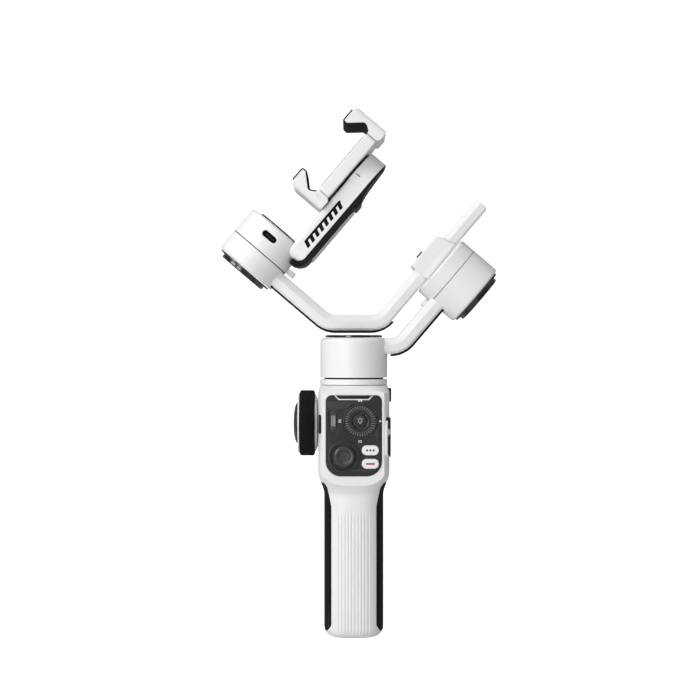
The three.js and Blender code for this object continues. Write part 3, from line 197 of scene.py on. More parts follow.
def moulded_surface():
    """Colour, roughness and height of a moulded surface: cloudy tone, handling marks and fine grain."""
    group, given, result = new_group(
        "moulded_surface",
        [
            ("Color", "NodeSocketColor", (0.8, 0.8, 0.8, 1)),
            ("Tone Change", "NodeSocketFloat", 0.03),
            ("Roughness", "NodeSocketFloat", 0.5),
            ("Roughness Change", "NodeSocketFloat", 0.08),
            ("Grain Scale", "NodeSocketFloat", 2500.0),
            ("Edge Wear", "NodeSocketFloat", 0.0),
        ],
        [("Color", "NodeSocketColor"), ("Roughness", "NodeSocketFloat"), ("Height", "NodeSocketFloat")],
    )
    link = group.links.new
    place = group.nodes.new("ShaderNodeTexCoord")
    cloud = node(group, "ShaderNodeTexNoise", Scale=38.0, Detail=4.0, Roughness=0.55)
    marks = node(group, "ShaderNodeTexNoise", Scale=160.0, Detail=5.0, Roughness=0.65)
    grain = node(group, "ShaderNodeTexNoise", Detail=2.0, Roughness=0.6)
    for texture in (cloud, marks, grain):
        link(place.outputs["Object"], texture.inputs["Vector"])
    link(given.outputs["Grain Scale"], grain.inputs["Scale"])
    tone = node(group, "ShaderNodeMath", operation="SUBTRACT")
    tone.inputs[1].default_value = 0.5
    link(cloud.outputs["Fac"], tone.inputs[0])
    tone_share = node(group, "ShaderNodeMath", operation="MULTIPLY_ADD")
    tone_share.inputs[2].default_value = 1.0
    link(tone.outputs[0], tone_share.inputs[0])
    link(given.outputs["Tone Change"], tone_share.inputs[1])
    tinted = node(group, "ShaderNodeVectorMath", operation="SCALE")
    link(given.outputs["Color"], tinted.inputs[0])
    link(tone_share.outputs[0], tinted.inputs["Scale"])
    shape = group.nodes.new("ShaderNodeNewGeometry")
    rubbed = node(group, "ShaderNodeMapRange")
    rubbed.inputs["From Min"].default_value = 0.52
    rubbed.inputs["From Max"].default_value = 0.62
    link(shape.outputs["Pointiness"], rubbed.inputs["Value"])
    patchy = node(group, "ShaderNodeMath", operation="MULTIPLY")
    link(rubbed.outputs[0], patchy.inputs[0])
    link(marks.outputs["Fac"], patchy.inputs[1])
    lifted = node(group, "ShaderNodeMath", operation="MULTIPLY")
    link(patchy.outputs[0], lifted.inputs[0])
    link(given.outputs["Edge Wear"], lifted.inputs[1])
    faded = node(group, "ShaderNodeVectorMath", operation="ADD")
    link(tinted.outputs[0], faded.inputs[0])
    link(lifted.outputs[0], faded.inputs[1])
    link(faded.outputs[0], result.inputs["Color"])
    worn = node(group, "ShaderNodeMath", operation="SUBTRACT")
    worn.inputs[1].default_value = 0.5
    link(marks.outputs["Fac"], worn.inputs[0])
    worn_share = node(group, "ShaderNodeMath", operation="MULTIPLY_ADD")
    link(worn.outputs[0], worn_share.inputs[0])
    link(given.outputs["Roughness Change"], worn_share.inputs[1])
    link(given.outputs["Roughness"], worn_share.inputs[2])
    link(worn_share.outputs[0], result.inputs["Roughness"])
    link(grain.outputs["Fac"], result.inputs["Height"])
    return group


def brushed_metal():
    """Colour, roughness and height of ground metal: long fine lines along one direction."""
    group, given, result = new_group(
        "brushed_metal",
        [
            ("Color", "NodeSocketColor", (0.6, 0.6, 0.62, 1)),
            ("Roughness", "NodeSocketFloat", 0.3),
            ("Stretch", "NodeSocketVector", (60.0, 60.0, 4000.0)),
        ],
        [("Color", "NodeSocketColor"), ("Roughness", "NodeSocketFloat"), ("Height", "NodeSocketFloat")],
    )
    link = group.links.new
    place = group.nodes.new("ShaderNodeTexCoord")
    stretched = node(group, "ShaderNodeVectorMath", operation="MULTIPLY")
    link(place.outputs["Object"], stretched.inputs[0])
    link(given.outputs["Stretch"], stretched.inputs[1])
    lines = node(group, "ShaderNodeTexNoise", Scale=1.0, Detail=3.0)
    link(stretched.outputs[0], lines.inputs["Vector"])
    shade = node(group, "ShaderNodeMapRange")
    shade.inputs["To Min"].default_value = 0.86
    shade.inputs["To Max"].default_value = 1.12
    link(lines.outputs["Fac"], shade.inputs["Value"])
    tinted = node(group, "ShaderNodeVectorMath", operation="SCALE")
    link(given.outputs["Color"], tinted.inputs[0])
    link(shade.outputs[0], tinted.inputs["Scale"])
    link(tinted.outputs[0], result.inputs["Color"])
    rough = node(group, "ShaderNodeMath", operation="MULTIPLY")
    link(given.outputs["Roughness"], rough.inputs[0])
    link(shade.outputs[0], rough.inputs[1])
    link(rough.outputs[0], result.inputs["Roughness"])
    link(lines.outputs["Fac"], result.inputs["Height"])
    return group


MOULDED = moulded_surface()
BRUSHED = brushed_metal()


def finish_from(name, group, values, bump, metallic=0.0, coat=0.0, coat_roughness=0.1, specular=0.5):
    material = bpy.data.materials.new(name)
    material.use_nodes = True
    tree = material.node_tree
    shader = tree.nodes["Principled BSDF"]
    surface = tree.nodes.new("ShaderNodeGroup")
    surface.node_tree = group
    for label, value in values.items():
        surface.inputs[label].default_value = value
    shader.inputs["Metallic"].default_value = metallic
    shader.inputs["Specular IOR Level"].default_value = specular
    shader.inputs["Coat Weight"].default_value = coat
    shader.inputs["Coat Roughness"].default_value = coat_roughness
    raised = tree.nodes.new("ShaderNodeBump")
    raised.inputs["Strength"].default_value = bump
    raised.inputs["Distance"].default_value = 0.00005
    tree.links.new(surface.outputs["Color"], shader.inputs["Base Color"])
    tree.links.new(surface.outputs["Roughness"], shader.inputs["Roughness"])
    tree.links.new(surface.outputs["Height"], raised.inputs["Height"])
    tree.links.new(raised.outputs["Normal"], shader.inputs["Normal"])
    return material


def plastic(name, color, roughness, grain, bump, tone=0.03, change=0.08, wear=0.0, **rest):
    values = {
        "Color": (*color, 1),
        "Tone Change": tone,
        "Roughness": roughness,
        "Roughness Change": change,
        "Grain Scale": grain,
        "Edge Wear": wear,
    }
    return finish_from(name, MOULDED, values, bump, **rest)


def metal(name, color, roughness, stretch=(60, 60, 4000), bump=0.05):
    values = {"Color": (*color, 1), "Roughness": roughness, "Stretch": stretch}
    return finish_from(name, BRUSHED, values, bump, metallic=1.0)


FINISHES = {
    "shell_white": plastic("satin_white_shell", (0.81, 0.81, 0.812), 0.42, 2600, 0.10, tone=0.02),
    "key_white": plastic("white_key", (0.82, 0.82, 0.82), 0.35, 3000, 0.05, tone=0.02),
    "accent_black": plastic(
        "black_trim", (0.004, 0.004, 0.0045), 0.5, 3200, 0.22, tone=0.15, wear=0.03, specular=0.14
    ),
    "rubber_black": plastic(
        "soft_black_rubber", (0.005, 0.005, 0.0053), 0.7, 4200, 0.35, tone=0.2, wear=0.02, specular=0.14
    ),
    "panel_grey": plastic(
        "panel_gloss_grey", (0.009, 0.0094, 0.0105), 0.36, 3000, 0.05,
        tone=0.1, wear=0.04, specular=0.42, coat=0.12, coat_roughness=0.22,
    ),
    "key_grey": plastic("grey_key", (0.02, 0.0205, 0.022), 0.42, 3000, 0.1, tone=0.08, wear=0.05),
    "gloss_black": plastic("gloss_black_cap", (0.009, 0.009, 0.011), 0.14, 2000, 0.02, tone=0.05, coat=0.4),
    "steel": metal("ground_steel", (0.52, 0.53, 0.55), 0.3),
    "silver_plate": metal("silver_contact_plate", (0.66, 0.67, 0.69), 0.34, (4000, 60, 60)),
    "winding_copper": metal("enamelled_winding", (0.62, 0.3, 0.14), 0.34, (60, 60, 2500)),
    "thread_brass": metal("turned_brass", (0.68, 0.5, 0.22), 0.28, (60, 60, 5000)),
    "board_green": plastic("solder_resist", (0.012, 0.09, 0.04), 0.35, 1500, 0.2, tone=0.3),
    "cell_wrap": plastic("cell_wrap", (0.03, 0.12, 0.3), 0.3, 1500, 0.05, tone=0.1, coat=0.3),
}
MARK_WHITE = plastic("printed_white_mark", (0.75, 0.75, 0.76), 0.5, 3000, 0.02)
MARK_GREY = plastic("printed_grey_mark", (0.42, 0.42, 0.43), 0.5, 3000, 0.02)
MARK_RED = plastic("printed_red_mark", (0.42, 0.02, 0.045), 0.45, 3000, 0.02)
# Light grey for the dial's ribs: a painted highlight that stands for the glints the ribs catch.
DIAL_RIB_PAINTED_HIGHLIGHT = plastic("dial_rib_painted_highlight", (0.2, 0.2, 0.205), 0.34, 3000, 0.03)
STICK_SATIN = plastic(
    "stick_satin", (0.034, 0.035, 0.037), 0.3, 3000, 0.05, tone=0.1, coat=0.2, coat_roughness=0.25
)
# Dark colour for real dark things (printed dots, the index mark, the port's tongue) and as painted shade in the
# motors' parting gaps.
DARK_PLASTIC_AND_GAP_SHADE = plastic("dark_plastic_and_painted_gap_shade", (0.01, 0.01, 0.011), 0.7, 3000, 0.1)

for name, part in frame["nodes"].items():
    part.data.materials.clear()
    part.data.materials.append(FINISHES[slot_of_node[name]])


# --------------------------------------------------------------------------------------------------
# Shape helpers: everything is drawn in millimetres in a piece's own frame, then settled into the row frame
# --------------------------------------------------------------------------------------------------
FRONT = Matrix(((1, 0, 0, 0), (0, 0, 1, 0), (0, 1, 0, 0), (0, 0, 0, 1)))
SIDE = Matrix(((0, 0, 1, 0), (1, 0, 0, 0), (0, 1, 0, 0), (0, 0, 0, 1)))
PLAN = Matrix.Identity(4)


def new_object(name, mesh):
    made = bpy.data.objects.new(name, mesh)
    bpy.context.scene.collection.objects.link(made)
    return made


def from_faces(name, vertices, faces):
    mesh = bpy.data.meshes.new(name)
    mesh.from_pydata([tuple(v) for v in vertices], [], faces)
    mesh.update()
    return new_object(name, mesh)


def face_outward(item):
    """Turns every face of a closed mesh outwards."""
    work = bmesh.new()
    work.from_mesh(item.data)
    bmesh.ops.recalc_face_normals(work, faces=work.faces)
    work.to_mesh(item.data)
    work.free()
    return item


def flatten(item):
    """Replaces an object's mesh by the one its modifiers make."""
    graph = bpy.context.evaluated_depsgraph_get()
    mesh = bpy.data.meshes.new_from_object(item.evaluated_get(graph))
    item.modifiers.clear()
    item.data = mesh


def combine(item, other, operation):
    step = item.modifiers.new("combine", "BOOLEAN")
    step.operation = operation
    step.solver = "EXACT"
    step.object = other
    flatten(item)
    bpy.data.objects.remove(other)
    return item


def carve(item, *cutters):
    for cutter in cutters:
        combine(item, cutter, "DIFFERENCE")
    return item


def weld(item, *others):
    for other in others:
        combine(item, other, "UNION")
    return item


def keep(item, region):
    return combine(item, region, "INTERSECT")


def arc(centre, radius, start, stop, steps=10):
    """Points on an arc, with its angles in degrees."""
    angles = [math.radians(start + (stop - start) * k / steps) for k in range(steps + 1)]
    return [(centre[0] + radius * math.cos(a), centre[1] + radius * math.sin(a)) for a in angles]


def soften(points, radius, closed=True, steps=5):
    """A line whose corners are turned into arcs; radius is one number, or one for each corner."""
    count = len(points)
    radii = radius if isinstance(radius, (list, tuple)) else [radius] * count
    result = []
    for i, point in enumerate(points):
        corner = Vector(point)
        if radii[i] <= 0 or (not closed and i in (0, count - 1)):
            result.append(corner)
            continue
        before = Vector(points[i - 1]) - corner
        after = Vector(points[(i + 1) % count]) - corner
        half = before.angle(after) / 2
        if half > math.radians(88):
            result.append(corner)
            continue
        reach = min(radii[i] / math.tan(half), 0.49 * before.length, 0.49 * after.length)
        size = reach * math.tan(half)
        centre = corner + (before.normalized() + after.normalized()).normalized() * (size / math.sin(half))
        first = corner + before.normalized() * reach - centre
        last = corner + after.normalized() * reach - centre
        turn = first.angle(last)
        for k in range(steps + 1):
            a = turn * k / steps
            result.append(centre + (first * math.sin(turn - a) + last * math.sin(a)) / math.sin(turn))
    return result


def rectangle(x0, x1, y0, y1, radii, steps=8):
    return soften([(x0, y0), (x1, y0), (x1, y1), (x0, y1)], radii, steps=steps)


def centred(centre, width, height, radius, steps=8):
    x, y = centre
    return rectangle(x - width / 2, x + width / 2, y - height / 2, y + height / 2, radius, steps)


def circle(centre, radius, steps=96):
    return arc(centre, radius, 0, 360 * (steps - 1) / steps, steps - 1)


def slab(outline, low, high, view=FRONT, edge=0.0, holes=()):
    """A filled outline, with any holes, from one height to another, its edges rounded by `edge`."""
    curve = bpy.data.curves.new("outline", "CURVE")
    curve.dimensions = "2D"
    curve.fill_mode = "BOTH"
    curve.extrude = (high - low) / 2 - edge
    curve.bevel_depth = edge
    curve.bevel_resolution = 2
    curve.offset = -edge
    for line in (outline, *holes):
        spline = curve.splines.new("POLY")
        spline.points.add(len(line) - 1)
        for point, (x, y) in zip(spline.points, line):
            point.co = (x, y, 0, 1)
        spline.use_cyclic_u = True
    holder = new_object("outline", curve)
    graph = bpy.context.evaluated_depsgraph_get()
    mesh = bpy.data.meshes.new_from_object(holder.evaluated_get(graph))
    bpy.data.objects.remove(holder)
    work = bmesh.new()
    work.from_mesh(mesh)
    bmesh.ops.remove_doubles(work, verts=work.verts, dist=0.0005)
    bmesh.ops.recalc_face_normals(work, faces=work.faces)
    work.to_mesh(mesh)
    work.free()
    mesh.transform(view @ Matrix.Translation((0, 0, (low + high) / 2)))
    if view.determinant() < 0:
        mesh.flip_normals()
    return new_object("slab", mesh)


def block(x0, x1, y0, y1, z0, z1):
    return slab([(x0, y0), (x1, y0), (x1, y1), (x0, y1)], z0, z1, PLAN)


def lathe(profile, axis="z", centre=(0, 0, 0), sides=128, closed=False):
    """A profile of (radius, height) turned about an axis; it starts and ends on the axis unless closed."""
    vertices, rings = [], []
    for radius, height in profile:
        if radius < 1e-6:
            rings.append([len(vertices)])
            vertices.append((0, 0, height))
            continue
        rings.append(list(range(len(vertices), len(vertices) + sides)))
        for k in range(sides):
            a = 2 * math.pi * k / sides
            vertices.append((radius * math.cos(a), radius * math.sin(a), height))
    faces = []
    pairs = list(zip(rings, rings[1:])) + ([(rings[-1], rings[0])] if closed else [])
    for low, high in pairs:
        for k in range(sides):
            n = (k + 1) % sides
            if len(low) == 1 and len(high) == 1:
                continue
            if len(low) == 1:
                faces.append((low[0], high[n], high[k]))
            elif len(high) == 1:
                faces.append((low[k], low[n], high[0]))
            else:
                faces.append((low[k], low[n], high[n], high[k]))
    made = face_outward(from_faces("turned", vertices, faces))
    turn = {
        "z": Matrix.Identity(4),
        "x": Matrix(((0, 0, 1, 0), (1, 0, 0, 0), (0, 1, 0, 0), (0, 0, 0, 1))),
        "-y": Matrix(((1, 0, 0, 0), (0, 0, -1, 0), (0, 1, 0, 0), (0, 0, 0, 1))),
    }[axis]
    made.data.transform(Matrix.Translation(centre) @ turn)
    return made


def offset_line(line, distance):
    """An open line moved to its left by a distance, mitred at each point."""
    result = []
    for i, point in enumerate(line):
        before = (line[i] - line[i - 1]).normalized() if i else None
        after = (line[i + 1] - line[i]).normalized() if i < len(line) - 1 else None
        along = (before or after) + (after or before)
        normal = Vector((-along.y, along.x)).normalized()
        straight = after or before
        mitre = max(0.5, normal.dot(Vector((-straight.y, straight.x))))
        result.append(point + normal * distance / mitre)
    return result


def sweep(line, section):
    """A section of (offset to the left, depth) points carried along an open line in the XZ plane."""
    lines = [offset_line(line, across) for across, _ in section]
    vertices = []
    for k in range(len(line)):
        vertices += [(moved[k].x, depth, moved[k].y) for (_, depth), moved in zip(section, lines)]
    size = len(section)
    faces = []
    for k in range(len(line) - 1):
        for i in range(size):
            n = (i + 1) % size
            faces.append((k * size + i, k * size + n, (k + 1) * size + n, (k + 1) * size + i))
    faces.append(tuple(range(size)))
    faces.append(tuple(reversed(range((len(line) - 1) * size, len(line) * size))))
    return face_outward(from_faces("swept", vertices, faces))


def settle(item, name, node, place=WORLD, finish=None, bevel=0.0, smooth=32, stands=True, weighted=True):
    """Names a piece, puts it in the row frame, gives it its finish and its body from its CAD node, and hides that
    node when it stands in for it.
    """
    item.name = name
    item.data.name = name
    item.data.transform(place)
    item.data.polygons.foreach_set("use_smooth", [True] * len(item.data.polygons))
    item.data.set_sharp_from_angle(angle=math.radians(smooth))
    if bevel:
        step = item.modifiers.new("edges", "BEVEL")
        step.width = bevel * MM
        step.segments = 2
        step.limit_method = "ANGLE"
        step.angle_limit = math.radians(smooth)
        step.miter_outer = "MITER_ARC"
    if weighted:
        even = item.modifiers.new("shading", "WEIGHTED_NORMAL")
        even.keep_sharp = True
    item.data.materials.clear()
    item.data.materials.append(finish or FINISHES[slot_of_node[node]])
    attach(item, body_of_node[node])
    if stands:
        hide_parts(node)
    return item


# --------------------------------------------------------------------------------------------------
# Handle
# --------------------------------------------------------------------------------------------------
GRIP_HEIGHT = 87
GRIP_HALF_WIDTH = 17.5
GRIP_HALF_DEPTH = 20.5
GRIP_SQUARENESS = 2.7
FOOT_RADIUS = 5.5
HEAD_HALF_WIDTH = 21
HEAD_FRONT_DEPTH = 27.5
HEAD_REAR_DEPTH = 22
HEAD_SQUARENESS = 4.2
PANEL_FACE = 23.6
SHELL_WALL = 2.2
PARTING_DEPTH = 3
RIB_COUNT = 9
RIB_PITCH = 1.9
RIB_DEPTH = 0.42
RIB_TOP = 76
INLAY_EDGE = 13.2
INLAY_DEPTH = 1.5
INLAY_REAR = 8
HEAD_TOP = span("handle_front_shell")[1].z
PAN_RADIUS = span("pan_housing")[1].x
NECK = (GRIP_HEIGHT - 4, GRIP_HEIGHT + 10)
SHOULDER = HEAD_TOP - 4
FAR = 60


def mix(a, b, t):
    return a + (b - a) * t


def ease(t):
    s = min(1, max(0, t))
    return s * s * (3 - 2 * s)


def handle_section(z):
    """Half width, front and rear depth and squareness of the handle at a height."""
    neck = ease((z - NECK[0]) / (NECK[1] - NECK[0]))
    turn = min(1, max(0, (z - SHOULDER) / (HEAD_TOP - SHOULDER)))
    in_foot = min(FOOT_RADIUS, max(0, FOOT_RADIUS - z))
    foot = FOOT_RADIUS - math.sqrt(FOOT_RADIUS**2 - in_foot**2)
    pairs = (
        (GRIP_HALF_WIDTH, HEAD_HALF_WIDTH),
        (GRIP_HALF_DEPTH, HEAD_FRONT_DEPTH),
        (GRIP_HALF_DEPTH, HEAD_REAR_DEPTH),
    )
    sizes = [mix(mix(grip, head, neck), PAN_RADIUS, turn) - foot for grip, head in pairs]
    return (*sizes, mix(mix(GRIP_SQUARENESS, HEAD_SQUARENESS, neck), 2, turn))


def rib_relief(x, z):
    """How far the surface drops in the grooves between the grip's ribs."""
    reach = (RIB_COUNT / 2) * RIB_PITCH + 0.5
    if abs(x) > reach:
        return 0
    phase = (x / RIB_PITCH + RIB_COUNT / 2) % 1
    groove = max(0, 1 - min(phase, 1 - phase) / 0.24)
    fade = 1 - ease((z - (RIB_TOP - 9)) / 9)
    return RIB_DEPTH * min(1, groove * 1.6) * fade


def handle_columns(fine):
    """Places round the section, as (cosine, sine) of an angle, closer together on the ribs."""
    columns = []
    if fine:
        steps = RIB_COUNT * 10 + 10
        reach = (RIB_COUNT / 2) * RIB_PITCH + 0.9
        edge = math.acos((reach / GRIP_HALF_WIDTH) ** (GRIP_SQUARENESS / 2))
        for k in range(steps + 1):
            x = -reach + 2 * reach * k / steps
            c = math.copysign((abs(x) / GRIP_HALF_WIDTH) ** (GRIP_SQUARENESS / 2), x)
            columns.append((c, -math.sqrt(1 - c * c)))
    else:
        edge = math.radians(60)
        columns = [(math.cos(a), math.sin(a)) for a in (math.radians(-120 + 60 * k / 20) for k in range(21))]
    sweep_angle = 2 * math.pi - (math.pi - 2 * edge)
    count = 110
    for k in range(1, count):
        a = -edge + sweep_angle * k / count
        columns.append((math.cos(a), math.sin(a)))
    return columns


def handle_body(grow, bottom, top, ribs=False):
    heights = [0, 0.3, 0.8, 1.6, 2.6, 3.8, FOOT_RADIUS, 20, 40, 60, RIB_TOP - 9]
    heights += [RIB_TOP - 9 + 1.1 * k for k in range(1, 10)]
    heights += [mix(NECK[0] - 1, NECK[1] + 1, k / 14) for k in range(15)]
    heights += [HEAD_TOP - 4 + 4 * k / 6 for k in range(7)]
    inside = sorted(h for h in heights if bottom + 0.2 < h < top - 0.2)
    rings = [bottom, *inside, top]
    columns = handle_columns(ribs)
    size = len(columns)
    vertices = []
    for z in rings:
        width, front, rear, power = handle_section(min(HEAD_TOP, max(0, z)))
        for c, s in columns:
            x = math.copysign(abs(c) ** (2 / power), c) * (width + grow)
            depth = front if s < 0 else rear
            y = math.copysign(abs(s) ** (2 / power), s) * (depth + grow)
            if ribs and s < 0:
                nominal = math.copysign(abs(c) ** (2 / GRIP_SQUARENESS), c) * GRIP_HALF_WIDTH
                y += rib_relief(nominal, z)
            vertices.append((x, y, z))
    faces = []
    for k in range(len(rings) - 1):
        for i in range(size):
            n = (i + 1) % size
            faces.append((k * size + i, k * size + n, (k + 1) * size + n, (k + 1) * size + i))
    faces.append(tuple(reversed(range(size))))
    faces.append(tuple(range((len(rings) - 1) * size, len(rings) * size)))
    return face_outward(from_faces("handle_body", vertices, faces))


def inlay_region(gap):
    low, inner, top = 3.7 - gap, INLAY_EDGE - gap, GRIP_HEIGHT + 4 + gap
    points = [
        (FAR, low), (inner + 2.6, low), (inner, low + 4), (inner, GRIP_HEIGHT - 10),
        (inner + 2.4, top - 3), (inner + 4.2, top), (FAR, top),
    ]
    return slab(soften(points, [0, 1.2, 3, 14, 5, 1.5, 0]), -FAR, INLAY_REAR + gap)


def mirrored(item):
    """A copy on the other side of the handle's middle plane."""
    mesh = item.data.copy()
    mesh.transform(Matrix.Diagonal((-1, 1, 1, 1)))
    mesh.flip_normals()
    return new_object("mirrored", mesh)


PANEL_LOW, PANEL_HIGH = span("control_panel")
PANEL_RADII = [8.7, 8.7, 3.5, 3.5]
RECESS_FLOOR = PANEL_HIGH.y + 0.3


def panel_outline(grow):
    return rectangle(
        PANEL_LOW.x - grow, PANEL_HIGH.x + grow, PANEL_LOW.z - grow, PANEL_HIGH.z + grow,
        [r + grow for r in PANEL_RADII], 14,
    )


SIDE_KEYS = ("power_button", "zoom_button", "usb_charge_port")
WRAPPED_KEYS = SIDE_KEYS[1:]
WRAP_REACH = 1.4
WRAP_DEPTH = 0.9
PAD_PROUD = 0.9
KEY_HOLE_FLOOR = 16.8
KEY_ROOM = 0.8


def side_outline(node, gap):
    low, high = span(node)
    front = low.y - (WRAP_REACH if node in WRAPPED_KEYS else 0)
    return rectangle(front - gap, high.y + gap, low.z - gap, high.z + gap, 1.6 + gap)


TRIGGER = span("trigger")
WHEEL_CENTRE = middle("focus_wheel_ring").z


def handle_shells():
    body = handle_body(0, 0, HEAD_TOP, ribs=True)
    body = keep(body, block(-FAR, FAR, -PANEL_FACE, FAR, -5, HEAD_TOP + 5))
    pad = handle_body(PAD_PROUD, HEAD_TOP - 45, HEAD_TOP - 15)
    pad = keep(pad, slab(rectangle(-23.2, 9, HEAD_TOP - 41.5, HEAD_TOP - 19.5, 3), 5, 40, SIDE))
    pad = keep(pad, block(-FAR, FAR, -PANEL_FACE, FAR, -5, HEAD_TOP + 5))
    weld(body, pad)
    for side in (1, -1):
        pocket = carve(inlay_region(0.12), handle_body(-INLAY_DEPTH - 0.3, -5, HEAD_TOP - 5))
        carve(body, mirrored_cutter(pocket) if side < 0 else pocket)
    carve(body, slab(panel_outline(0.3), -FAR, RECESS_FLOOR))
    for key in SIDE_KEYS:
        floor = KEY_HOLE_FLOOR if key in WRAPPED_KEYS else span(key)[0].x - KEY_ROOM
        carve(body, slab(side_outline(key, 0.25), floor, 40, SIDE))
    carve(body, lathe([(0, -40), (6.2, -40), (6.2, -17), (0, -17)], "x", (0, 0, WHEEL_CENTRE), 64))
    low, high = TRIGGER
    carve(body, block(low.x - 0.5, high.x + 0.5, 12, 40, high.z - 33, high.z + 1.6))
    floor = span("bottom_cap")[1].z + 0.3
    hollow = handle_body(-SHELL_WALL, floor, HEAD_TOP - SHELL_WALL)
    keep(hollow, block(-FAR, FAR, RECESS_FLOOR + 1.9, FAR, -5, HEAD_TOP))
    carve(body, hollow, slab(foot_outline(0.15), -1, floor + 1, PLAN))
    seam = block(-FAR, FAR, PARTING_DEPTH - 0.11, PARTING_DEPTH + 0.11, -5, HEAD_TOP + 5)
    carve(body, carve(seam, handle_body(-0.5, -8, HEAD_TOP + 0.5)))
    rear = new_object("rear", body.data.copy())
    keep(body, block(-FAR, FAR, -FAR, PARTING_DEPTH - 0.005, -5, HEAD_TOP + 5))
    keep(rear, block(-FAR, FAR, PARTING_DEPTH + 0.005, FAR, -5, HEAD_TOP + 5))
    settle(body, "fine_front_shell", "handle_front_shell", smooth=28, weighted=False)
    settle(rear, "fine_rear_shell", "handle_rear_shell", smooth=28, weighted=False)


def foot_outline(gap):
    """The bottom cap's outline, inside the shell's foot."""
    width, front, _, power = handle_section(0)
    points = []
    for k in range(96):
        a = 2 * math.pi * k / 96
        c, s = math.cos(a), math.sin(a)
        x = math.copysign(abs(c) ** (2 / power), c) * (width - 1 + gap)
        points.append((x, math.copysign(abs(s) ** (2 / power), s) * (front - 1 + gap)))
    return points


def bottom_cap():
    low, high = span("bottom_cap")
    bore = span("tripod_thread_insert")[1].x + 0.15
    cap = slab(foot_outline(0), low.z, high.z, PLAN, edge=0.3, holes=[circle((0, 0), bore, 64)])
    settle(cap, "fine_bottom_cap", "bottom_cap")


def mirrored_cutter(item):
    copy = mirrored(item)
    bpy.data.objects.remove(item)
    return copy


def grip_inlays():
    inlay = keep(handle_body(0, 1, HEAD_TOP - 30), inlay_region(0))
    carve(inlay, handle_body(-INLAY_DEPTH, -5, HEAD_TOP - 5))
    other = mirrored(inlay)
    settle(inlay, "fine_inlay_right", "grip_inlay_right", smooth=40, bevel=0.25, weighted=False)
    settle(other, "fine_inlay_left", "grip_inlay_left", smooth=40, bevel=0.25, weighted=False)


def pan_collar():
    low, high = span("pan_collar")
    r = high.x
    profile = [(r - 1.9, low.z), (r, low.z), (r, high.z), (r - 1.9, high.z)]
    settle(lathe(soften(profile, [0, 0.3, 0.5, 0]), closed=True), "fine_pan_collar", "pan_collar")


handle_shells()
grip_inlays()
bottom_cap()
pan_collar()


# --------------------------------------------------------------------------------------------------
# Control panel
# --------------------------------------------------------------------------------------------------
DIAL = middle("control_dial")
STICK = middle("joystick_cap")
PANEL_FRONT = span("status_display")[0].y
FRONT_KEYS = {"menu_button": (1.4, 0.25), "mode_button": (2.8, 0.45), "record_button": (2.8, 0.45)}


def grown_box(node, gap, radius):
    low, high = span(node)
    return rectangle(low.x - gap, high.x + gap, low.z - gap, high.z + gap, radius + gap, 10)


def control_panel():
    top = PANEL_HIGH.z
    panel = slab(panel_outline(0), PANEL_FRONT, PANEL_HIGH.y, edge=0.28)
    notch = soften([(-10.9, top + 2), (-8.4, top - 2.6), (8.4, top - 2.6), (10.9, top + 2)], [0, 0.8, 0.8, 0])
    carve(panel, slab(notch, -FAR, 0))
    bead = panel_outline(0.75)
    rim = slab(bead, -PANEL_FACE - 0.16, RECESS_FLOOR - 0.6, edge=0.14, holes=[panel_outline(0.12)])
    settle(rim, "panel_rim", "handle_front_shell", stands=False)
    lip = [
        (-11.5, top + 0.2), (-10.9, top + 0.2), (-8.55, top - 2.15), (8.55, top - 2.15),
        (10.9, top + 0.2), (11.5, top + 0.2), (8.85, top - 2.75), (-8.85, top - 2.75),
    ]
    settle(
        slab(soften(lip, 0.25, steps=3), PANEL_FRONT - 0.05, PANEL_HIGH.y, edge=0.08),
        "display_lip", "handle_front_shell", stands=False,
    )
    dial, stick = (DIAL.x, DIAL.z), (STICK.x, STICK.z)
    carve(panel, slab(circle(dial, 10.3), -FAR, 0))
    surround = circle(dial, 10.75)
    ring = slab(surround, PANEL_FRONT - 0.12, PANEL_FRONT + 0.5, edge=0.1, holes=[circle(dial, 10.35)])
    settle(ring, "dial_surround", "control_panel", stands=False)
    weld(panel, slab(circle(stick, 9.3), PANEL_FRONT - 0.7, PANEL_FRONT + 1, edge=0.35))
    carve(panel, slab(circle(stick, 8.1), -FAR, PANEL_HIGH.y - 0.7))
    for key, (radius, _) in FRONT_KEYS.items():
        carve(panel, slab(grown_box(key, 0.3, radius), -FAR, 0))
    low, high = span("menu_button")
    ledge = rectangle(low.x - 1.2, high.x + 1.2, low.z - 0.9, high.z + 0.9, 2.2)
    carve(panel, slab(ledge, -FAR, PANEL_FRONT + 0.5))
    settle(panel, "fine_control_panel", "control_panel", smooth=30, bevel=0.1)
    for node, (radius, edge) in FRONT_KEYS.items():
        low, high = span(node)
        outline = rectangle(low.x, high.x, low.z, high.z, radius, 12)
        settle(slab(outline, low.y, high.y, edge=edge), "fine_" + node, node)
    low, high = span("status_display")
    bottom, top = low.z + 0.25, high.z - 0.2
    shape = soften([(-8.2, bottom), (8.2, bottom), (9.6, top), (-9.6, top)], 0.3)
    settle(slab(shape, low.y, high.y, edge=0.15), "fine_status_display", "status_display")


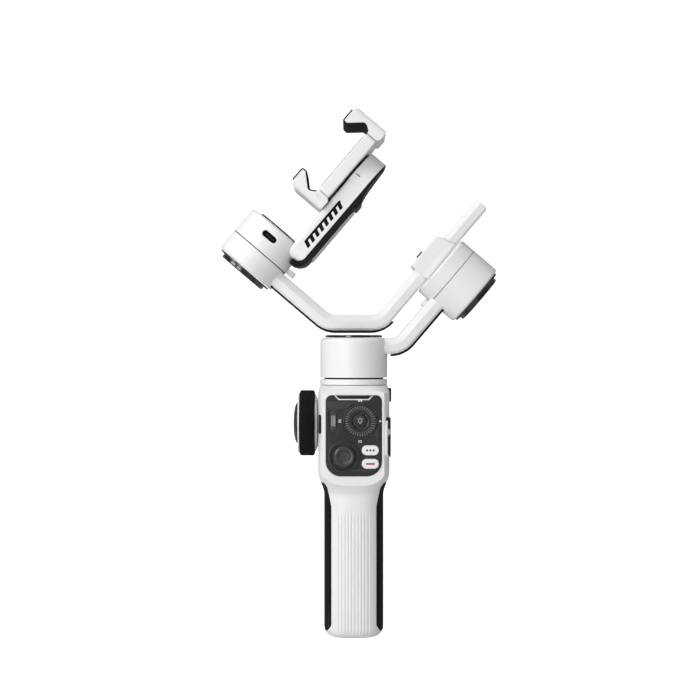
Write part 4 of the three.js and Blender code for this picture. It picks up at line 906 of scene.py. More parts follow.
def control_dial():
    low, high = span("control_dial")
    hole, rim, front, back = 4.45, DIAL.x - low.x, -low.y, -high.y
    groove = front - 0.45
    profile = [
        (hole, back), (rim, back), (rim, front), (rim - 0.9, front), (rim - 1.2, groove),
        (hole + 0.6, groove), (hole, groove - 0.2),
    ]
    place = (DIAL.x, 0, DIAL.z)
    settle(
        lathe(soften(profile, [0, 0, 0.5, 0.3, 0.2, 0.3, 0]), "-y", place, 144, closed=True),
        "fine_control_dial", "control_dial",
    )
    spokes = 36
    for k in range(spokes):
        a = 2 * math.pi * k / spokes
        along, across = Vector((math.cos(a), math.sin(a))), Vector((-math.sin(a), math.cos(a)))
        centre = Vector((DIAL.x, DIAL.z))
        corners = [(6.5, -0.12), (8.8, -0.24), (8.8, 0.24), (6.5, 0.12)]
        outline = [centre + along * r + across * w for r, w in corners]
        rib = slab(soften(outline, 0.1, steps=2), low.y + 0.02, low.y + 0.6, edge=0.08)
        # Each rib gets the light grey of a painted highlight.
        settle(rib, f"dial_rib_{k:02d}", "control_dial", finish=DIAL_RIB_PAINTED_HIGHLIGHT, stands=False)
    low, high = span("dial_button")
    r, front, back = DIAL.x - low.x, -low.y, -high.y
    profile = [(0, back), (r, back), (r, front - 0.1), (r - 1.2, front - 0.1), (0, front)]
    settle(
        lathe(soften(profile, [0, 0, 0.4, 0.4, 0], closed=False), "-y", place, 96),
        "fine_dial_button", "dial_button",
    )


def joystick():
    low, high = span("joystick_cap")
    r = (high.x - low.x) / 2
    front = -low.y
    profile = [
        (0, -high.y), (1.3, -high.y), (1.3, front - 1.9), (r - 0.6, front - 1.9),
        (r, front - 1.2), (r - 0.1, front - 0.4), (r - 1.0, front), (r - 2.1, front - 0.1),
        (3.3, front - 0.75), (3.1, front - 0.95), (0, front - 1.0),
    ]
    radii = [0, 0, 0, 0.4, 0.5, 0.4, 0.6, 0.6, 0.15, 0.15, 0]
    settle(
        lathe(soften(profile, radii, closed=False), "-y", (STICK.x, 0, STICK.z), 112),
        "fine_joystick_cap", "joystick_cap", finish=STICK_SATIN,
    )


control_panel()
control_dial()
joystick()


def side_key(node):
    low, high = span(node)
    if node in WRAPPED_KEYS:
        key = handle_body(PAD_PROUD + 0.05, low.z - 3, high.z + 3)
        key = keep(key, slab(side_outline(node, 0), 5, 40, SIDE))
        carve(key, handle_body(-WRAP_DEPTH, low.z - 4, high.z + 4))
    else:
        key = slab(side_outline(node, 0), low.x, high.x, SIDE, edge=0.35)
    if node == "usb_charge_port":
        y, z = (low.y + high.y) / 2, (low.z + high.z) / 2
        carve(key, slab(centred((y, z), 1.8, 9, 0.8), 19.4, 40, SIDE))
    settle(key, "fine_" + node, node)


def wheel_trim():
    """The dark strip in the side of the head beside the focus wheel."""
    half = 5.6
    trim = keep(
        handle_body(0.3, WHEEL_CENTRE - 9, WHEEL_CENTRE + 9),
        slab(rectangle(-21.6, -17.4, WHEEL_CENTRE - half, WHEEL_CENTRE + half, 1.5), -40, -5, SIDE),
    )
    carve(trim, handle_body(-0.4, WHEEL_CENTRE - 10, WHEEL_CENTRE + 10))
    settle(trim, "wheel_side_trim", "wheel_bushing", stands=False)


for side_node in SIDE_KEYS:
    side_key(side_node)
wheel_trim()


# --------------------------------------------------------------------------------------------------
# Marks on the panel and its keys: plain signs, raised by less than a tenth of a millimetre
# --------------------------------------------------------------------------------------------------
def mark(name, node, outline, front, finish, holes=()):
    item = slab(outline, front - 0.05, front + 0.12, edge=0.0, holes=holes)
    settle(item, name, node, finish=finish, stands=False)


def bar(centre, width, height, radius=0.12):
    return centred(centre, width, height, min(radius, width / 2.01, height / 2.01), 3)


def panel_marks():
    reach, face = 11.75, PANEL_FRONT
    x, z = DIAL.x, DIAL.z
    white = MARK_WHITE
    for k, side in enumerate((-1, 1)):
        mark(f"mark_top_{k}", "control_panel", bar((x + 0.7 * side, z + reach), 0.95, 1.0), face, white)
        mark(f"mark_low_{k}", "control_panel", bar((x, z - reach + 0.45 * side), 1.9, 0.3), face, white)
        mark(f"mark_low_end_{k}", "control_panel", bar((x + 0.85 * side, z - reach), 0.3, 0.75), face, white)
    for k in (-1, 0, 1):
        mark(f"mark_left_{k + 1}", "control_panel", bar((x - reach, z + 0.7 * k), 1.5, 0.38), face, white)
        dots = circle((middle("mode_button").x + 1.9 * k, middle("mode_button").z), 0.6, 20)
        mark(f"mode_dot_{k + 1}", "mode_button", dots, span("mode_button")[0].y, DARK_PLASTIC_AND_GAP_SHADE)
        low, high = span("menu_button")
        centre = ((low.x + high.x) / 2 + 0.85 * k, (low.z + high.z) / 2)
        mark(f"menu_bar_{k + 1}", "menu_button", bar(centre, 0.4, 6.2), low.y, MARK_GREY)
    arrow = [(x + reach - 0.5, z - 0.75), (x + reach + 0.6, z), (x + reach - 0.5, z + 0.75)]
    mark("mark_right", "control_panel", soften(arrow, 0.12, steps=2), face, white)
    record = middle("record_button")
    front = span("record_button")[0].y
    mark("record_bar", "record_button", bar((record.x, record.z), 5.4, 1.0, 0.4), front, MARK_RED)
    front, lamp = span("dial_button")[0].y, (x, z + 0.35)
    mark("lamp_ring", "dial_button", circle(lamp, 1.25, 40), front, MARK_GREY, [circle(lamp, 0.85, 40)])
    mark("lamp_foot", "dial_button", bar((x, z - 1.35), 1.1, 0.34), front, MARK_GREY)
    for k in (-1, 0, 1):
        a = math.radians(90 + 55 * k)
        centre = Vector((x + 1.95 * math.cos(a), z + 0.35 + 1.95 * math.sin(a)))
        along = Vector((math.cos(a), math.sin(a))) * 0.34
        across = Vector((-along.y, along.x)) * 0.4
        ray = [centre + along * i + across * j for i, j in ((-1, -1), (1, -1), (1, 1), (-1, 1))]
        mark(f"lamp_ray_{k + 1}", "dial_button", ray, front, MARK_GREY)


panel_marks()


# --------------------------------------------------------------------------------------------------
# Focus wheel and trigger
# --------------------------------------------------------------------------------------------------
WHEEL_RIDGES = 100
CAP_RIM = 0.15


def focus_wheel():
    low, high = span("focus_wheel_ring")
    radius, centre = (high.z - low.z) / 2, (0, 0, WHEEL_CENTRE)
    inner, per_ridge = radius - 3.4, 6
    width = high.x - low.x
    profile = [
        (inner, 0), (radius - 1.3, 0), (radius - 0.55, 0.25), (radius - 0.12, 0.75), (radius, 1.2),
        (radius, width - 1.2), (radius - 0.12, width - 0.75), (radius - 0.55, width - 0.25),
        (radius - 1.3, width), (inner, width),
    ]
    ridged = (0, 0, 0.6, 1, 1, 1, 1, 0.6, 0, 0)
    sides = WHEEL_RIDGES * per_ridge
    vertices = []
    for (r, x), share in zip(profile, ridged):
        for k in range(sides):
            phase = (k % per_ridge) / per_ridge
            drop = 0.34 * share * max(0, math.cos(2 * math.pi * phase)) ** 0.7
            a = 2 * math.pi * k / sides
            vertices.append((low.x + x, (r - drop) * math.cos(a), (r - drop) * math.sin(a) + WHEEL_CENTRE))
    count = len(profile)
    faces = []
    for i in range(count):
        j = (i + 1) % count
        for k in range(sides):
            n = (k + 1) % sides
            faces.append((i * sides + k, j * sides + k, j * sides + n, i * sides + n))
    ring = from_faces("ring", vertices, faces)
    settle(ring, "fine_wheel_ring", "focus_wheel_ring", smooth=50, weighted=False)
    hub_low, hub_high = span("focus_wheel_hub")
    seat = inner - 0.3
    left, right = hub_low.x, high.x
    hub = [
        (0, left), (seat + 1.6, left), (seat + 1.9, left + 0.35),
        (seat + 1.9, low.x - 0.1), (seat, low.x - 0.1),
        (seat, right + 0.15), (seat + 2.2, right + 0.2), (seat - 1.6, right + 1.7), (8, right + 1.7),
        (8, right + 0.4), (3, right + 0.4), (3, hub_high.x), (0, hub_high.x),
    ]
    radii = [0, 0.3, 0.15, 0.05, 0, 0, 0.3, 0.8, 0.2, 0.2, 0.2, 0.3, 0]
    settle(lathe(soften(hub, radii, closed=False), "x", centre, 160), "fine_wheel_hub", "focus_wheel_hub")
    cap_low, cap_high = span("focus_wheel_cap")
    rim, rise = (cap_high.z - cap_low.z) / 2, cap_high.x - cap_low.x
    cap = [(0, cap_low.x)]
    for k in range(1, 16):
        a = math.radians(6 * k)
        cap.append((rim * math.sin(a), cap_high.x - CAP_RIM - (rise - CAP_RIM) * math.cos(a)))
    cap += [(rim, cap_high.x), (0, cap_high.x)]
    settle(lathe(cap, "x", centre, 128), "fine_wheel_cap", "focus_wheel_cap")


def trigger_lever():
    low, high = span("trigger")
    y, z = joints["trigger_pull"]["pos_m"][1] / MM, joints["trigger_pull"]["pos_m"][2] / MM
    outline = [
        (y - 3, z - 1.5), (y - 3, z + 2.4), (y, z + 3.4), (y + 3.6, z + 3), (y + 6, z - 5), (y + 7.8, z - 14),
        (y + 9.6, z - 20), (y + 13, z - 24.4), (y + 12.9, z - 26.9), (y + 10.8, z - 27.3), (y + 7.6, z - 25),
        (y + 5.4, z - 18), (y + 3.9, z - 8), (y + 1, z - 4),
    ]
    outline = soften(outline, [1, 1, 3, 1, 12, 12, 8, 2, 1, 1, 3, 8, 8, 4], steps=6)
    lever = slab(outline, low.x, high.x, SIDE, 0.9)
    settle(lever, "fine_trigger", "trigger", smooth=40)


focus_wheel()
trigger_lever()


# --------------------------------------------------------------------------------------------------
# Motors
# --------------------------------------------------------------------------------------------------
MOTOR_WALL = 2.1
CAP_STEP = 15.3
ABOUT_X = Matrix(((0, 0, 1, 0), (1, 0, 0, 0), (0, 1, 0, 0), (0, 0, 0, 1)))
TILT_AXIS = (ROLL.inverted() @ Vector(joints["tilt_turn"]["pos_m"])).z
TILT = ROLL @ Matrix.Translation((0, 0, TILT_AXIS))
TILT_TURNED = TILT @ ABOUT_X


def cup(radius, closed, open_end, edge):
    """A motor cup, drawn from its closed end to its open one."""
    way = math.copysign(1, open_end - closed)
    profile = [
        (0, closed), (radius, closed), (radius, open_end), (radius - MOTOR_WALL, open_end),
        (radius - MOTOR_WALL, closed + MOTOR_WALL * way), (0, closed + MOTOR_WALL * way),
    ]
    return lathe(soften(profile, [0, edge, 0.18, 0.1, 0.5, 0], closed=False, steps=8), sides=160)


def motor_cap(radius, seat, outer):
    """A two-step cap with a shallow groove and a slightly dished face."""
    way = math.copysign(1, outer - seat)
    profile = [
        (0, seat), (radius, seat), (radius, seat + way), (CAP_STEP, seat + way), (CAP_STEP, outer),
        (CAP_STEP - 2.2, outer), (CAP_STEP - 2.6, outer - 0.25 * way), (CAP_STEP - 3.3, outer - 0.25 * way),
        (CAP_STEP - 3.6, outer), (0, outer - 0.1 * way),
    ]
    return lathe(soften(profile, [0, 0.2, 0.35, 0.2, 0.8, 0.15, 0.1, 0.1, 0.15, 0], closed=False), sides=160)


def pan_motor():
    low, high = span("pan_housing")
    settle(cup(high.x, high.z, low.z, 2.6), "fine_pan_housing", "pan_housing")
    low, high = span("pan_cap")
    rim = high.x
    profile = [(0, low.z), (rim, low.z), (rim, high.z), (rim - 1.6, high.z), (0, high.z - 0.1)]
    settle(lathe(soften(profile, [0, 0.1, 0.5, 0.2, 0], closed=False), sides=160), "fine_pan_cap", "pan_cap")


def painted_gap_shade_ring(name, node, place, radius, start, end):
    """A thin dark ring of painted shade in the parting gap of a motor, just below its skin: it stands for the
    shade inside the gap.
    """
    inset, slack = 0.12, 0.04
    outer = radius - inset
    inner, near, far = outer - 1.2, start + slack, end - slack
    profile = [(inner, near), (outer, near), (outer, far), (inner, far)]
    settle(lathe(profile, sides=160, closed=True), name, node, place, finish=DARK_PLASTIC_AND_GAP_SHADE, stands=False)


def roll_motor():
    low, high = span("roll_housing", ROLL)
    # The dark ring here is painted shade in the gap between the roll housing and its rotor.
    painted_gap_shade_ring("roll_painted_gap_shade", "roll_housing", ROLL, high.y, high.z, high.z + 0.35)
    settle(cup(high.y, low.z, high.z, 1.6), "fine_roll_housing", "roll_housing", ROLL)
    low, high = span("roll_cap", ROLL)
    settle(motor_cap(high.y, high.z, low.z), "fine_roll_cap", "roll_cap", ROLL)
    low, high = span("roll_rotor_shell", ROLL)
    radius, top = high.y, high.z
    bottom = span("roll_housing", ROLL)[1].z + 0.35
    profile = [
        (0, low.z), (3, low.z), (3, top - MOTOR_WALL), (radius - MOTOR_WALL, top - MOTOR_WALL),
        (radius - MOTOR_WALL, bottom), (radius, bottom), (radius, top), (0, top),
    ]
    rotor = lathe(soften(profile, [0, 0.2, 0.4, 0.4, 0.1, 0.18, 1.6, 0], closed=False, steps=8), sides=160)
    settle(rotor, "fine_roll_rotor", "roll_rotor_shell", ROLL)


def tilt_motor():
    low, high = span("tilt_housing", TILT)
    rotor_start = span("tilt_rotor_shell", TILT)[0].x
    # The dark ring here is painted shade in the gap between the tilt housing and its rotor.
    painted_gap_shade_ring("tilt_painted_gap_shade", "tilt_housing", TILT_TURNED, high.y, high.x, rotor_start)
    settle(cup(high.y, low.x, high.x, 1.6), "fine_tilt_housing", "tilt_housing", TILT_TURNED)
    low, high = span("tilt_cap", TILT)
    settle(motor_cap(high.y, high.x, low.x), "fine_tilt_cap", "tilt_cap", TILT_TURNED)
    low, high = span("tilt_rotor_shell", TILT)
    radius, left, right = high.y, low.x, high.x
    wall = right - MOTOR_WALL
    profile = [
        (3.3, wall), (radius - MOTOR_WALL, wall), (radius - MOTOR_WALL, left),
        (radius, left), (radius, right), (3.3, right),
    ]
    rotor = lathe(soften(profile, [0, 0.4, 0.1, 0.18, 2.1, 0], steps=8), sides=160, closed=True)
    rotor.data.transform(ABOUT_X)
    port_low, port_high = span("tilt_usb_port", TILT)
    x, z = (port_low.x + port_high.x) / 2, (port_low.z + port_high.z) / 2
    wide, tall = port_high.x - port_low.x, port_high.z - port_low.z
    carve(
        rotor,
        slab(centred((x, z), wide + 0.4, tall + 0.4, wide / 2 + 0.19), -40, 0),
        slab(centred((x, z), wide + 2.4, tall + 2.4, wide / 2 + 1.19, 12), -40, -radius + 0.6),
    )
    settle(rotor, "fine_tilt_rotor", "tilt_rotor_shell", TILT, bevel=0.12, smooth=28)
    port = slab(centred((x, z), wide, tall, wide / 2 - 0.01, 12), port_low.y, port_high.y, edge=0.2)
    mouth = centred((x, z), wide - 1.0, tall - 1.2, (wide - 1.0) / 2 - 0.01, 12)
    carve(port, slab(mouth, -40, -radius + 4.6))
    settle(port, "fine_tilt_port", "tilt_usb_port", TILT)
    tongue = slab(centred((x, z), 0.7, tall - 2.8, 0.2), -radius + 1.5, -radius + 4.8, edge=0.1)
    settle(tongue, "tilt_port_tongue", "tilt_usb_port", TILT, DARK_PLASTIC_AND_GAP_SHADE, stands=False)
    low, high = span("tilt_shaft", TILT)
    disc, end = high.y, high.x
    profile = [(0, low.x), (3, low.x), (3, right + 0.3), (disc, right + 0.3), (disc, end), (0, end)]
    shaft = lathe(soften(profile, [0, 0.3, 0.1, 0.1, 0.25, 0], closed=False), sides=128)
    settle(shaft, "fine_tilt_shaft", "tilt_shaft", TILT_TURNED)


def lock_tab(node, place, view, axis):
    low, high = span(node, place)
    i, j = [k for k in range(3) if k != axis]
    outline = rectangle(low[i], high[i], low[j], high[j], 1.3)
    tab = slab(outline, low[axis], high[axis], view, edge=0.55)
    settle(tab, "fine_" + node, node, place)


pan_motor()
roll_motor()
tilt_motor()
lock_tab("roll_lock_tab", ROLL, PLAN, 2)
lock_tab("tilt_lock_tab", TILT, SIDE, 0)


# --------------------------------------------------------------------------------------------------
# Arms
# --------------------------------------------------------------------------------------------------
ARM_HALF = 4.7
ARM_DEPTH = 9
ARM_BEND = 12
STRIP_HALF_DEPTH = 7
# The white arm's section, round from the rear: flat sides towards the strips, a low crease along the front.
ARM_SECTION = [
    (-ARM_HALF, 8.2), (-3.6, ARM_DEPTH), (3.6, ARM_DEPTH), (ARM_HALF, 8.0),
    (ARM_HALF, -7.2), (0.6, -ARM_DEPTH), (-3.4, -8.6), (-ARM_HALF, -7.4),
]
ARM_RADII = [0.8, 0.8, 0.8, 0.8, 0.9, 0.35, 0.7, 0.7]


def arm_route(points):
    return soften(points, ARM_BEND, closed=False, steps=14)


def strip_section(inner, outer):
    half = STRIP_HALF_DEPTH
    corners = [(inner, half), (outer, half), (outer, -half), (inner, -half)]
    return soften(corners, [0, 0.5, 0.5, 0], steps=3)


def rise(x, z):
    """Height above the foot of a point of the roll frame, in millimetres."""
    return (ROLL @ Vector((x, 0, z))).z / MM


def meet(level, x=None, z=None):
    """Where a level line meets a line of constant x or z of the roll frame."""
    lean_x = rise(1, 0) - rise(0, 0)
    lean_z = rise(0, 1) - rise(0, 0)
    if x is None:
        return (level - rise(0, z)) / lean_x
    return (level - rise(x, 0)) / lean_z


def housing_plug(radius, low, high):
    """A solid that clears a motor from an arm, about the roll axis."""
    return lathe([(0, low), (radius, low), (radius, high), (0, high)], sides=160)


def pan_plug(radius):
    """A solid that clears the pan housing from an arm, drawn in the roll frame."""
    plug = lathe([(0, 100), (radius, 100), (radius, 260), (0, 260)], sides=160)
    plug.data.transform(ROLL.inverted() @ WORLD)
    return plug


def tilt_plug(radius):
    """A solid that clears the tilt housing from the swing arm, drawn in the roll frame."""
    plug = lathe([(0, -90), (radius, -90), (radius, -40), (0, -40)], sides=160)
    plug.data.transform(Matrix.Translation((0, 0, TILT_AXIS)) @ ABOUT_X)
    return plug


def pan_arm():
    low, high = span("pan_housing")
    level = low.z + 18.6
    start = ROLL.inverted() @ (Vector((0, 0, level)) * MM)
    lean = -2.95
    corner = (meet(level, z=lean), lean)
    line = arm_route([(start.x, start.z), corner, (0, lean)])
    radius = span("roll_housing", ROLL)[1].y
    arm = sweep(line, soften(ARM_SECTION, ARM_RADII, steps=3))
    carve(arm, housing_plug(radius - 0.5, -60, 40), pan_plug(PAN_RADIUS - 0.5))
    tab_low, tab_high = span("roll_lock_tab", ROLL)
    carve(arm, block(tab_low.x - 0.5, 0, tab_low.y - 0.5, tab_high.y + 0.5, tab_low.z - 2.9, tab_high.z + 2))
    settle(arm, "fine_pan_arm", "pan_arm", ROLL, smooth=26)
    outside = -ARM_HALF - 0.1
    strip = sweep(line[1:], strip_section(outside, outside - 1.3))
    carve(strip, housing_plug(radius + 0.2, -60, 40), pan_plug(PAN_RADIUS + 0.2))
    settle(strip, "fine_pan_strip", "pan_arm_strip", ROLL, smooth=26)


def swing_arm():
    high = span("swing_arm", ROLL)[1]
    top = span("pan_cap")[1].z
    level = top + 1.3 + 1.1 + 0.3 + ARM_HALF
    upright = middle("tilt_housing", TILT).x + 0.9
    middle_line = span("roll_rotor_shell", ROLL)[1].z + 0.35 + ARM_HALF
    points = [
        (upright, TILT_AXIS - 4), (upright, meet(level, x=upright)),
        (meet(level, z=middle_line), middle_line), (high.x, middle_line),
    ]
    line = arm_route(points)
    arm = sweep(line, soften(ARM_SECTION, ARM_RADII, steps=3))
    half = ARM_HALF + 0.01
    tail = rectangle(high.x - 30, high.x, middle_line - half, middle_line + half, [0, 2.6, 2.6, 0], 8)
    corner_cut = slab([(high.x - 2.7, -20), (high.x + 5, -20), (high.x + 5, 60), (high.x - 2.7, 60)], -20, 20)
    carve(corner_cut, slab(tail, -30, 30))
    carve(arm, corner_cut)
    radius = span("tilt_housing", TILT)[1].y
    carve(arm, tilt_plug(radius - 0.5))
    tab_low, tab_high = span("tilt_lock_tab", ROLL)
    track = block(
        tab_low.x - 2.9, tab_high.x + 2, tab_low.y - 0.5, tab_high.y + 0.5, tab_low.z - 0.5, TILT_AXIS
    )
    carve(arm, track)
    settle(arm, "fine_swing_arm", "swing_arm", ROLL, smooth=26)
    outside = -ARM_HALF - 0.1
    strip = sweep(line[:-1], strip_section(outside, outside - 1.3))
    carve(strip, tilt_plug(radius + 0.2))
    settle(strip, "fine_swing_strip", "swing_arm_strip", ROLL, smooth=26)
    return middle_line


def arm_clamp(arm_line):
    low, high = span("arm_clamp", ROLL)
    half, flare = -low.x, high.x
    outline = [(-half, low.z), (flare, low.z), (half, high.z), (-half, high.z)]
    outline = soften(outline, [1.2, 0.8, 2.4, 2.0], steps=7)
    box = slab(outline, low.y, high.y, edge=1.1)
    channel = ARM_DEPTH + 0.25
    carve(box, block(-40, 40, -channel, channel, low.z - 5, arm_line + ARM_HALF + 0.25))
    screw = middle("arm_lock_screw", ROLL)
    above = high.z + 5
    for radius, floor, sides in ((2.8, high.z - 0.6, 64), (1.5, high.z - 8, 48)):
        hole = [(0, floor), (radius, floor), (radius, above), (0, above)]
        carve(box, lathe(hole, centre=(screw.x, 0, 0), sides=sides))
    for y, way in ((low.y, 1), (high.y, -1)):
        left, right, lower, upper = -half - 1, flare + 1, arm_line + 0.1, arm_line + 0.4
        groove = [(left, lower), (right, lower), (right, upper), (left, upper)]
        carve(box, slab(groove, min(y - way, y + 0.18 * way), max(y - way, y + 0.18 * way)))
    settle(box, "fine_arm_clamp", "arm_clamp", ROLL, smooth=30, bevel=0.12)
    low, high = span("arm_lock_screw", ROLL)
    radius = (high.y - low.y) / 2
    head = high.z - 1.2
    profile = [(0, low.z), (1.2, low.z), (1.2, head), (radius, head), (radius, high.z), (0, high.z)]
    knob = lathe(soften(profile, [0, 0.1, 0.1, 0.2, 0.35, 0], closed=False), centre=(screw.x, 0, 0), sides=72)
    carve(knob, block(screw.x - 0.4, screw.x + 0.4, -1.8, 1.8, high.z - 0.5, high.z + 2))
    settle(knob, "fine_lock_screw", "arm_lock_screw", ROLL, smooth=30)


pan_arm()
arm_clamp(swing_arm())


# --------------------------------------------------------------------------------------------------
# Phone cradle
# --------------------------------------------------------------------------------------------------
CLAMP_ORIGIN = TILT.inverted() @ Vector(joints["clamp_turn"]["pos_m"])
CRADLE_HALF = span("cradle_shell", TILT)[1].y
CRADLE_LEFT = span("cradle_shell", TILT)[0].x
CRADLE_TOP = span("cradle_shell", TILT)[1].z
CRADLE_SEAM = span("cradle_shell", TILT)[0].z
COVER_LEFT = span("cradle_back_cover", TILT)[0].x
COVER_LOW = span("cradle_plate", TILT)[1].z + 0.3
CLAMP_AXIS = CLAMP_ORIGIN.x
GRILLE_SLOTS = 8
GRILLE_PITCH = 4.15
GRILLE_WIDTH = 2.5
GRILLE_LEAN = 1.9
GRILLE_LEFT = -43.5
GRILLE_LOW, GRILLE_HIGH = -21.3, -16.8
GRILLE_GAP = 1.4
SEAM_CORNER = 5
CORE_RIGHT = -6
CRADLE_WALL = 2.2
TILT_RIGHT = span("tilt_rotor_shell", TILT)[1].x


def cradle_plan(left, inset, left_radius=6):
    half = CRADLE_HALF - inset
    return (
        arc((CLAMP_AXIS, 0), half, -90, 90, 40)
        + arc((left + inset + left_radius, half - left_radius), left_radius, 90, 180, 12)
        + arc((left + inset + left_radius, left_radius - half), left_radius, 180, 270, 12)
    )


def rotor_clearance():
    radius = span("tilt_rotor_shell", TILT)[1].y + 0.3
    disc = span("tilt_shaft", TILT)[1].y + 0.6
    end = TILT_RIGHT + 1.4
    face = TILT_RIGHT + 0.3
    plug = lathe([(0, -66), (radius, -66), (radius, face), (disc, face), (disc, end), (0, end)], sides=160)
    plug.data.transform(ABOUT_X)
    return plug


def cradle_shell():
    edge = 2.4
    plan = cradle_plan(CRADLE_LEFT, 0)
    shell = slab(plan, 2 * CRADLE_SEAM - CRADLE_TOP, CRADLE_TOP, PLAN, edge=edge)
    seam = rectangle(CRADLE_LEFT, 90, CRADLE_SEAM, 10, [SEAM_CORNER, 0, 0, 0], 12)
    keep(shell, slab(seam, -40, 40))
    boss = slab(circle((CLAMP_AXIS, 0), CRADLE_HALF, 120), CRADLE_TOP - 3.8, CRADLE_TOP, PLAN, edge=0.5)
    weld(shell, boss)
    inside = CRADLE_HALF - CRADLE_WALL
    hollow = rectangle(CRADLE_LEFT + CRADLE_WALL, CORE_RIGHT, -inside, inside, 3)
    carve(shell, slab(hollow, CRADLE_SEAM - 5, CRADLE_TOP - CRADLE_WALL, PLAN))
    for k in range(GRILLE_SLOTS):
        x = GRILLE_LEFT + k * GRILLE_PITCH
        slot = [
            (x, GRILLE_LOW), (x + GRILLE_WIDTH, GRILLE_LOW),
            (x + GRILLE_WIDTH + GRILLE_LEAN, GRILLE_HIGH), (x + GRILLE_LEAN, GRILLE_HIGH),
        ]
        carve(shell, slab(soften(slot, 0.3, steps=3), -40, 40))
    last = GRILLE_LEFT + (GRILLE_SLOTS - 1) * GRILLE_PITCH + GRILLE_WIDTH + GRILLE_LEAN
    band = rectangle(GRILLE_LEFT + GRILLE_LEAN, last, GRILLE_HIGH - GRILLE_GAP, GRILLE_HIGH, 0.25, 3)
    carve(shell, slab(band, -40, 40))
    bore = [(0, CRADLE_TOP - 6), (4.1, CRADLE_TOP - 6), (4.1, 10), (0, 10)]
    carve(shell, lathe(bore, centre=(CLAMP_AXIS, 0, 0), sides=72))
    carve(shell, rotor_clearance())
    index = centred((CLAMP_AXIS, CRADLE_TOP - 2.9), 0.55, 3.2, 0.15, 3)
    index = slab(index, -CRADLE_HALF - 0.04, -CRADLE_HALF + 0.3)
    settle(index, "index_mark", "cradle_shell", TILT, finish=DARK_PLASTIC_AND_GAP_SHADE, stands=False)
    settle(shell, "fine_cradle_shell", "cradle_shell", TILT, smooth=30, bevel=0.12)


def cradle_cover():
    top, left, radius, hump = CRADLE_SEAM - 0.25, COVER_LEFT, 8.3, 1.4
    rotor = span("tilt_rotor_shell", TILT)[1].y
    tip = CLAMP_AXIS + CRADLE_HALF
    corner = (CRADLE_LEFT + SEAM_CORNER, CRADLE_SEAM + SEAM_CORNER)
    profile = arc(corner, SEAM_CORNER + 0.25, 270, 180, 12)
    profile += [(CRADLE_LEFT - 0.25, -rotor + 1.5), (left, -rotor + 1.5)]
    profile += arc((left + radius, COVER_LOW + radius), radius, 180, 270, 16)
    belly = [
        (left + radius, COVER_LOW), (-8, COVER_LOW), (-7.4, COVER_LOW - hump), (-2.6, COVER_LOW - hump),
        (-2.2, COVER_LOW - hump / 2),
    ]
    profile += soften(belly, [0, 0.4, 0.3, 0.5, 0], closed=False)[1:]
    start, pull, end = belly[-1], (2, CRADLE_SEAM - 1.5), (tip - 2.5, CRADLE_SEAM - 1.1)
    for k in range(1, 13):
        t = k / 12
        shares = ((1 - t) ** 2, 2 * t * (1 - t), t * t)
        profile.append(tuple(sum(w * v for w, v in zip(shares, line)) for line in zip(start, pull, end)))
    profile.append((tip, top))
    cover = keep(slab(profile, -40, 40), slab(cradle_plan(left, 0.2, 7), -60, 20, PLAN))
    gap = CRADLE_WALL + 0.3
    core = rectangle(CRADLE_LEFT + gap, CORE_RIGHT - 0.3, -CRADLE_HALF + gap, CRADLE_HALF - gap, 2.7)
    weld(cover, slab(core, top - 1, CRADLE_TOP - CRADLE_WALL - 0.3, PLAN))
    carve(cover, rotor_clearance())
    settle(cover, "fine_cradle_cover", "cradle_back_cover", TILT, smooth=30, bevel=0.35)
    low, high = span("cradle_plate", TILT)
    plate = slab(rectangle(low.x, high.x, low.y, high.y, 3), low.z, high.z, PLAN, edge=0.18)
    settle(plate, "fine_cradle_plate", "cradle_plate", TILT)


cradle_shell()
cradle_cover()


# --------------------------------------------------------------------------------------------------
# Phone clamp, drawn about its own pivot: x along the jaws, z up from the cradle's top
# --------------------------------------------------------------------------------------------------
CLAMP = TILT @ Matrix.Translation((CLAMP_AXIS, 0, CRADLE_TOP))


def jaw_line():
    low, high = span("upper_jaw", CLAMP)
    outer, top = high.x, high.z
    half = span("clamp_bar", CLAMP)[1].x
    bar_top = span("clamp_bar", CLAMP)[1].z
    points = [
        (outer - 3.2, top), (half - 3.9, top), (half - 3.9, top - 3.6),
        (half + 3.3, top - 11.5), (half + 1, bar_top + 0.6),
    ]
    return soften(points, [0, 1.7, 1.2, 1.5, 0], closed=False, steps=8)


def jaw():
    low, high = span("upper_jaw", CLAMP)
    outer, top = high.x, high.z
    seat = span("clamp_bar", CLAMP)[1].x + 0.25
    bar_top = span("clamp_bar", CLAMP)[1].z
    line = jaw_line()
    inner = offset_line(line, 1.0)
    outline = [Vector((seat, low.z + 1.5)), Vector((seat + 1.5, low.z)), Vector((outer - 1.6, low.z))]
    outline += [Vector(p) for p in arc((outer - 1.6, low.z + 1.6), 1.6, -70, 0, 5)]
    tip = ((outer, top - 4.6), (outer - 0.25, top - 3.1), (outer - 1.1, top - 1.8))
    outline += [Vector(p) for p in tip]
    outline += inner + [Vector((seat, bar_top - 0.5))]
    shape = slab(outline, low.y - 5, high.y + 5)
    plan = rectangle(0, outer, low.y, high.y, [0.5, 3.5, 3.5, 0.5], 8)
    return keep(shape, slab(plan, -5, 60, PLAN))


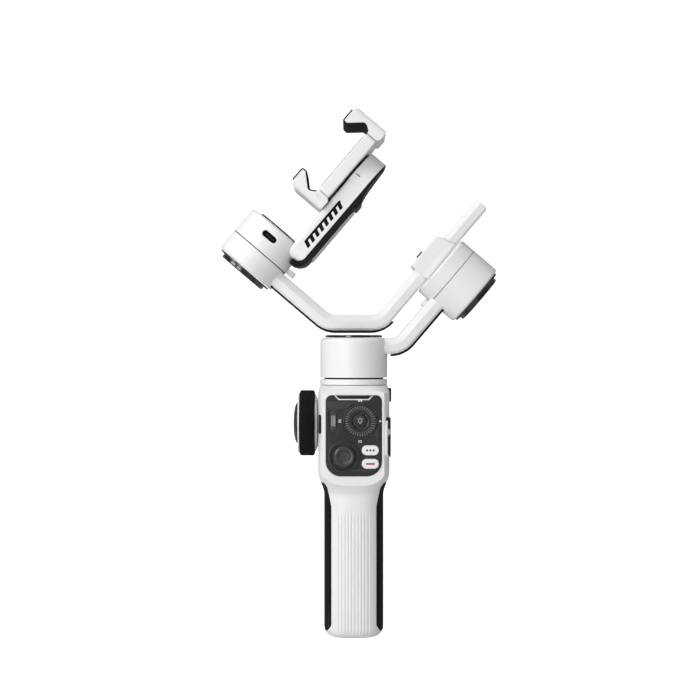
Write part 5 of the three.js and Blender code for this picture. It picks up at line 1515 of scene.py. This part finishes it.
def clamp_jaws():
    upper = jaw()
    lower = mirrored(upper)
    tongue_low, tongue_high = span("jaw_tongue", CLAMP)
    socket = block(
        0, tongue_high.x + 0.3, tongue_low.y - 0.3, tongue_high.y + 0.3,
        tongue_low.z - 0.3, tongue_high.z + 0.3,
    )
    carve(upper, socket)
    low, high = span("lower_jaw", CLAMP)
    slot = centred(((low.x + high.x) / 2, low.z + 4.6), 1.3, 5.2, 0.6, 4)
    settle(upper, "fine_upper_jaw", "upper_jaw", CLAMP, smooth=34, bevel=0.45)
    carve(lower, slab(slot, low.y - 1, low.y + 0.5))
    settle(lower, "fine_lower_jaw", "lower_jaw", CLAMP, smooth=34, bevel=0.35)
    low, high = span("upper_jaw_pad", CLAMP)
    line = jaw_line()
    outline = offset_line(line, 0.0) + list(reversed(offset_line(line, 0.85)))
    pad = slab(outline, low.y, high.y, edge=0.1)
    other = mirrored(pad)
    settle(pad, "fine_upper_pad", "upper_jaw_pad", CLAMP, smooth=34)
    settle(other, "fine_lower_pad", "lower_jaw_pad", CLAMP, smooth=34)


def clamp_bar():
    low, high = span("clamp_bar", CLAMP)
    bar = slab(rectangle(low.x, high.x, low.y, high.y, 2), low.z, high.z, PLAN, edge=0.9)
    pad_low, pad_high = span("clamp_bar_pad", CLAMP)
    gap = 0.2
    pocket = rectangle(pad_low.x - gap, pad_high.x + gap, pad_low.y - gap, pad_high.y + gap, 3)
    carve(bar, slab(pocket, high.z - 0.6, high.z + 3, PLAN))
    tongue_low, tongue_high = span("jaw_tongue", CLAMP)
    channel = block(
        tongue_low.x - 0.3, 60, tongue_low.y - 0.3, tongue_high.y + 0.3,
        tongue_low.z - 0.3, tongue_high.z + 0.3,
    )
    carve(bar, channel)
    settle(bar, "fine_clamp_bar", "clamp_bar", CLAMP, smooth=30, bevel=0.12)
    pad = rectangle(pad_low.x, pad_high.x, pad_low.y, pad_high.y, 2.8)
    pad = slab(pad, pad_low.z, pad_high.z, PLAN, edge=0.22)
    settle(pad, "fine_clamp_pad", "clamp_bar_pad", CLAMP)
    low, high = span("clamp_turntable", CLAMP)
    rim = high.x
    top = high.z
    profile = [(0, low.z), (4, low.z), (4, top - 0.8), (rim, top - 0.8), (rim, top), (0, top)]
    table = lathe(soften(profile, [0, 0.4, 0.1, 0.15, 0.25, 0], closed=False), sides=128)
    settle(table, "fine_clamp_table", "clamp_turntable", CLAMP)


clamp_jaws()
clamp_bar()
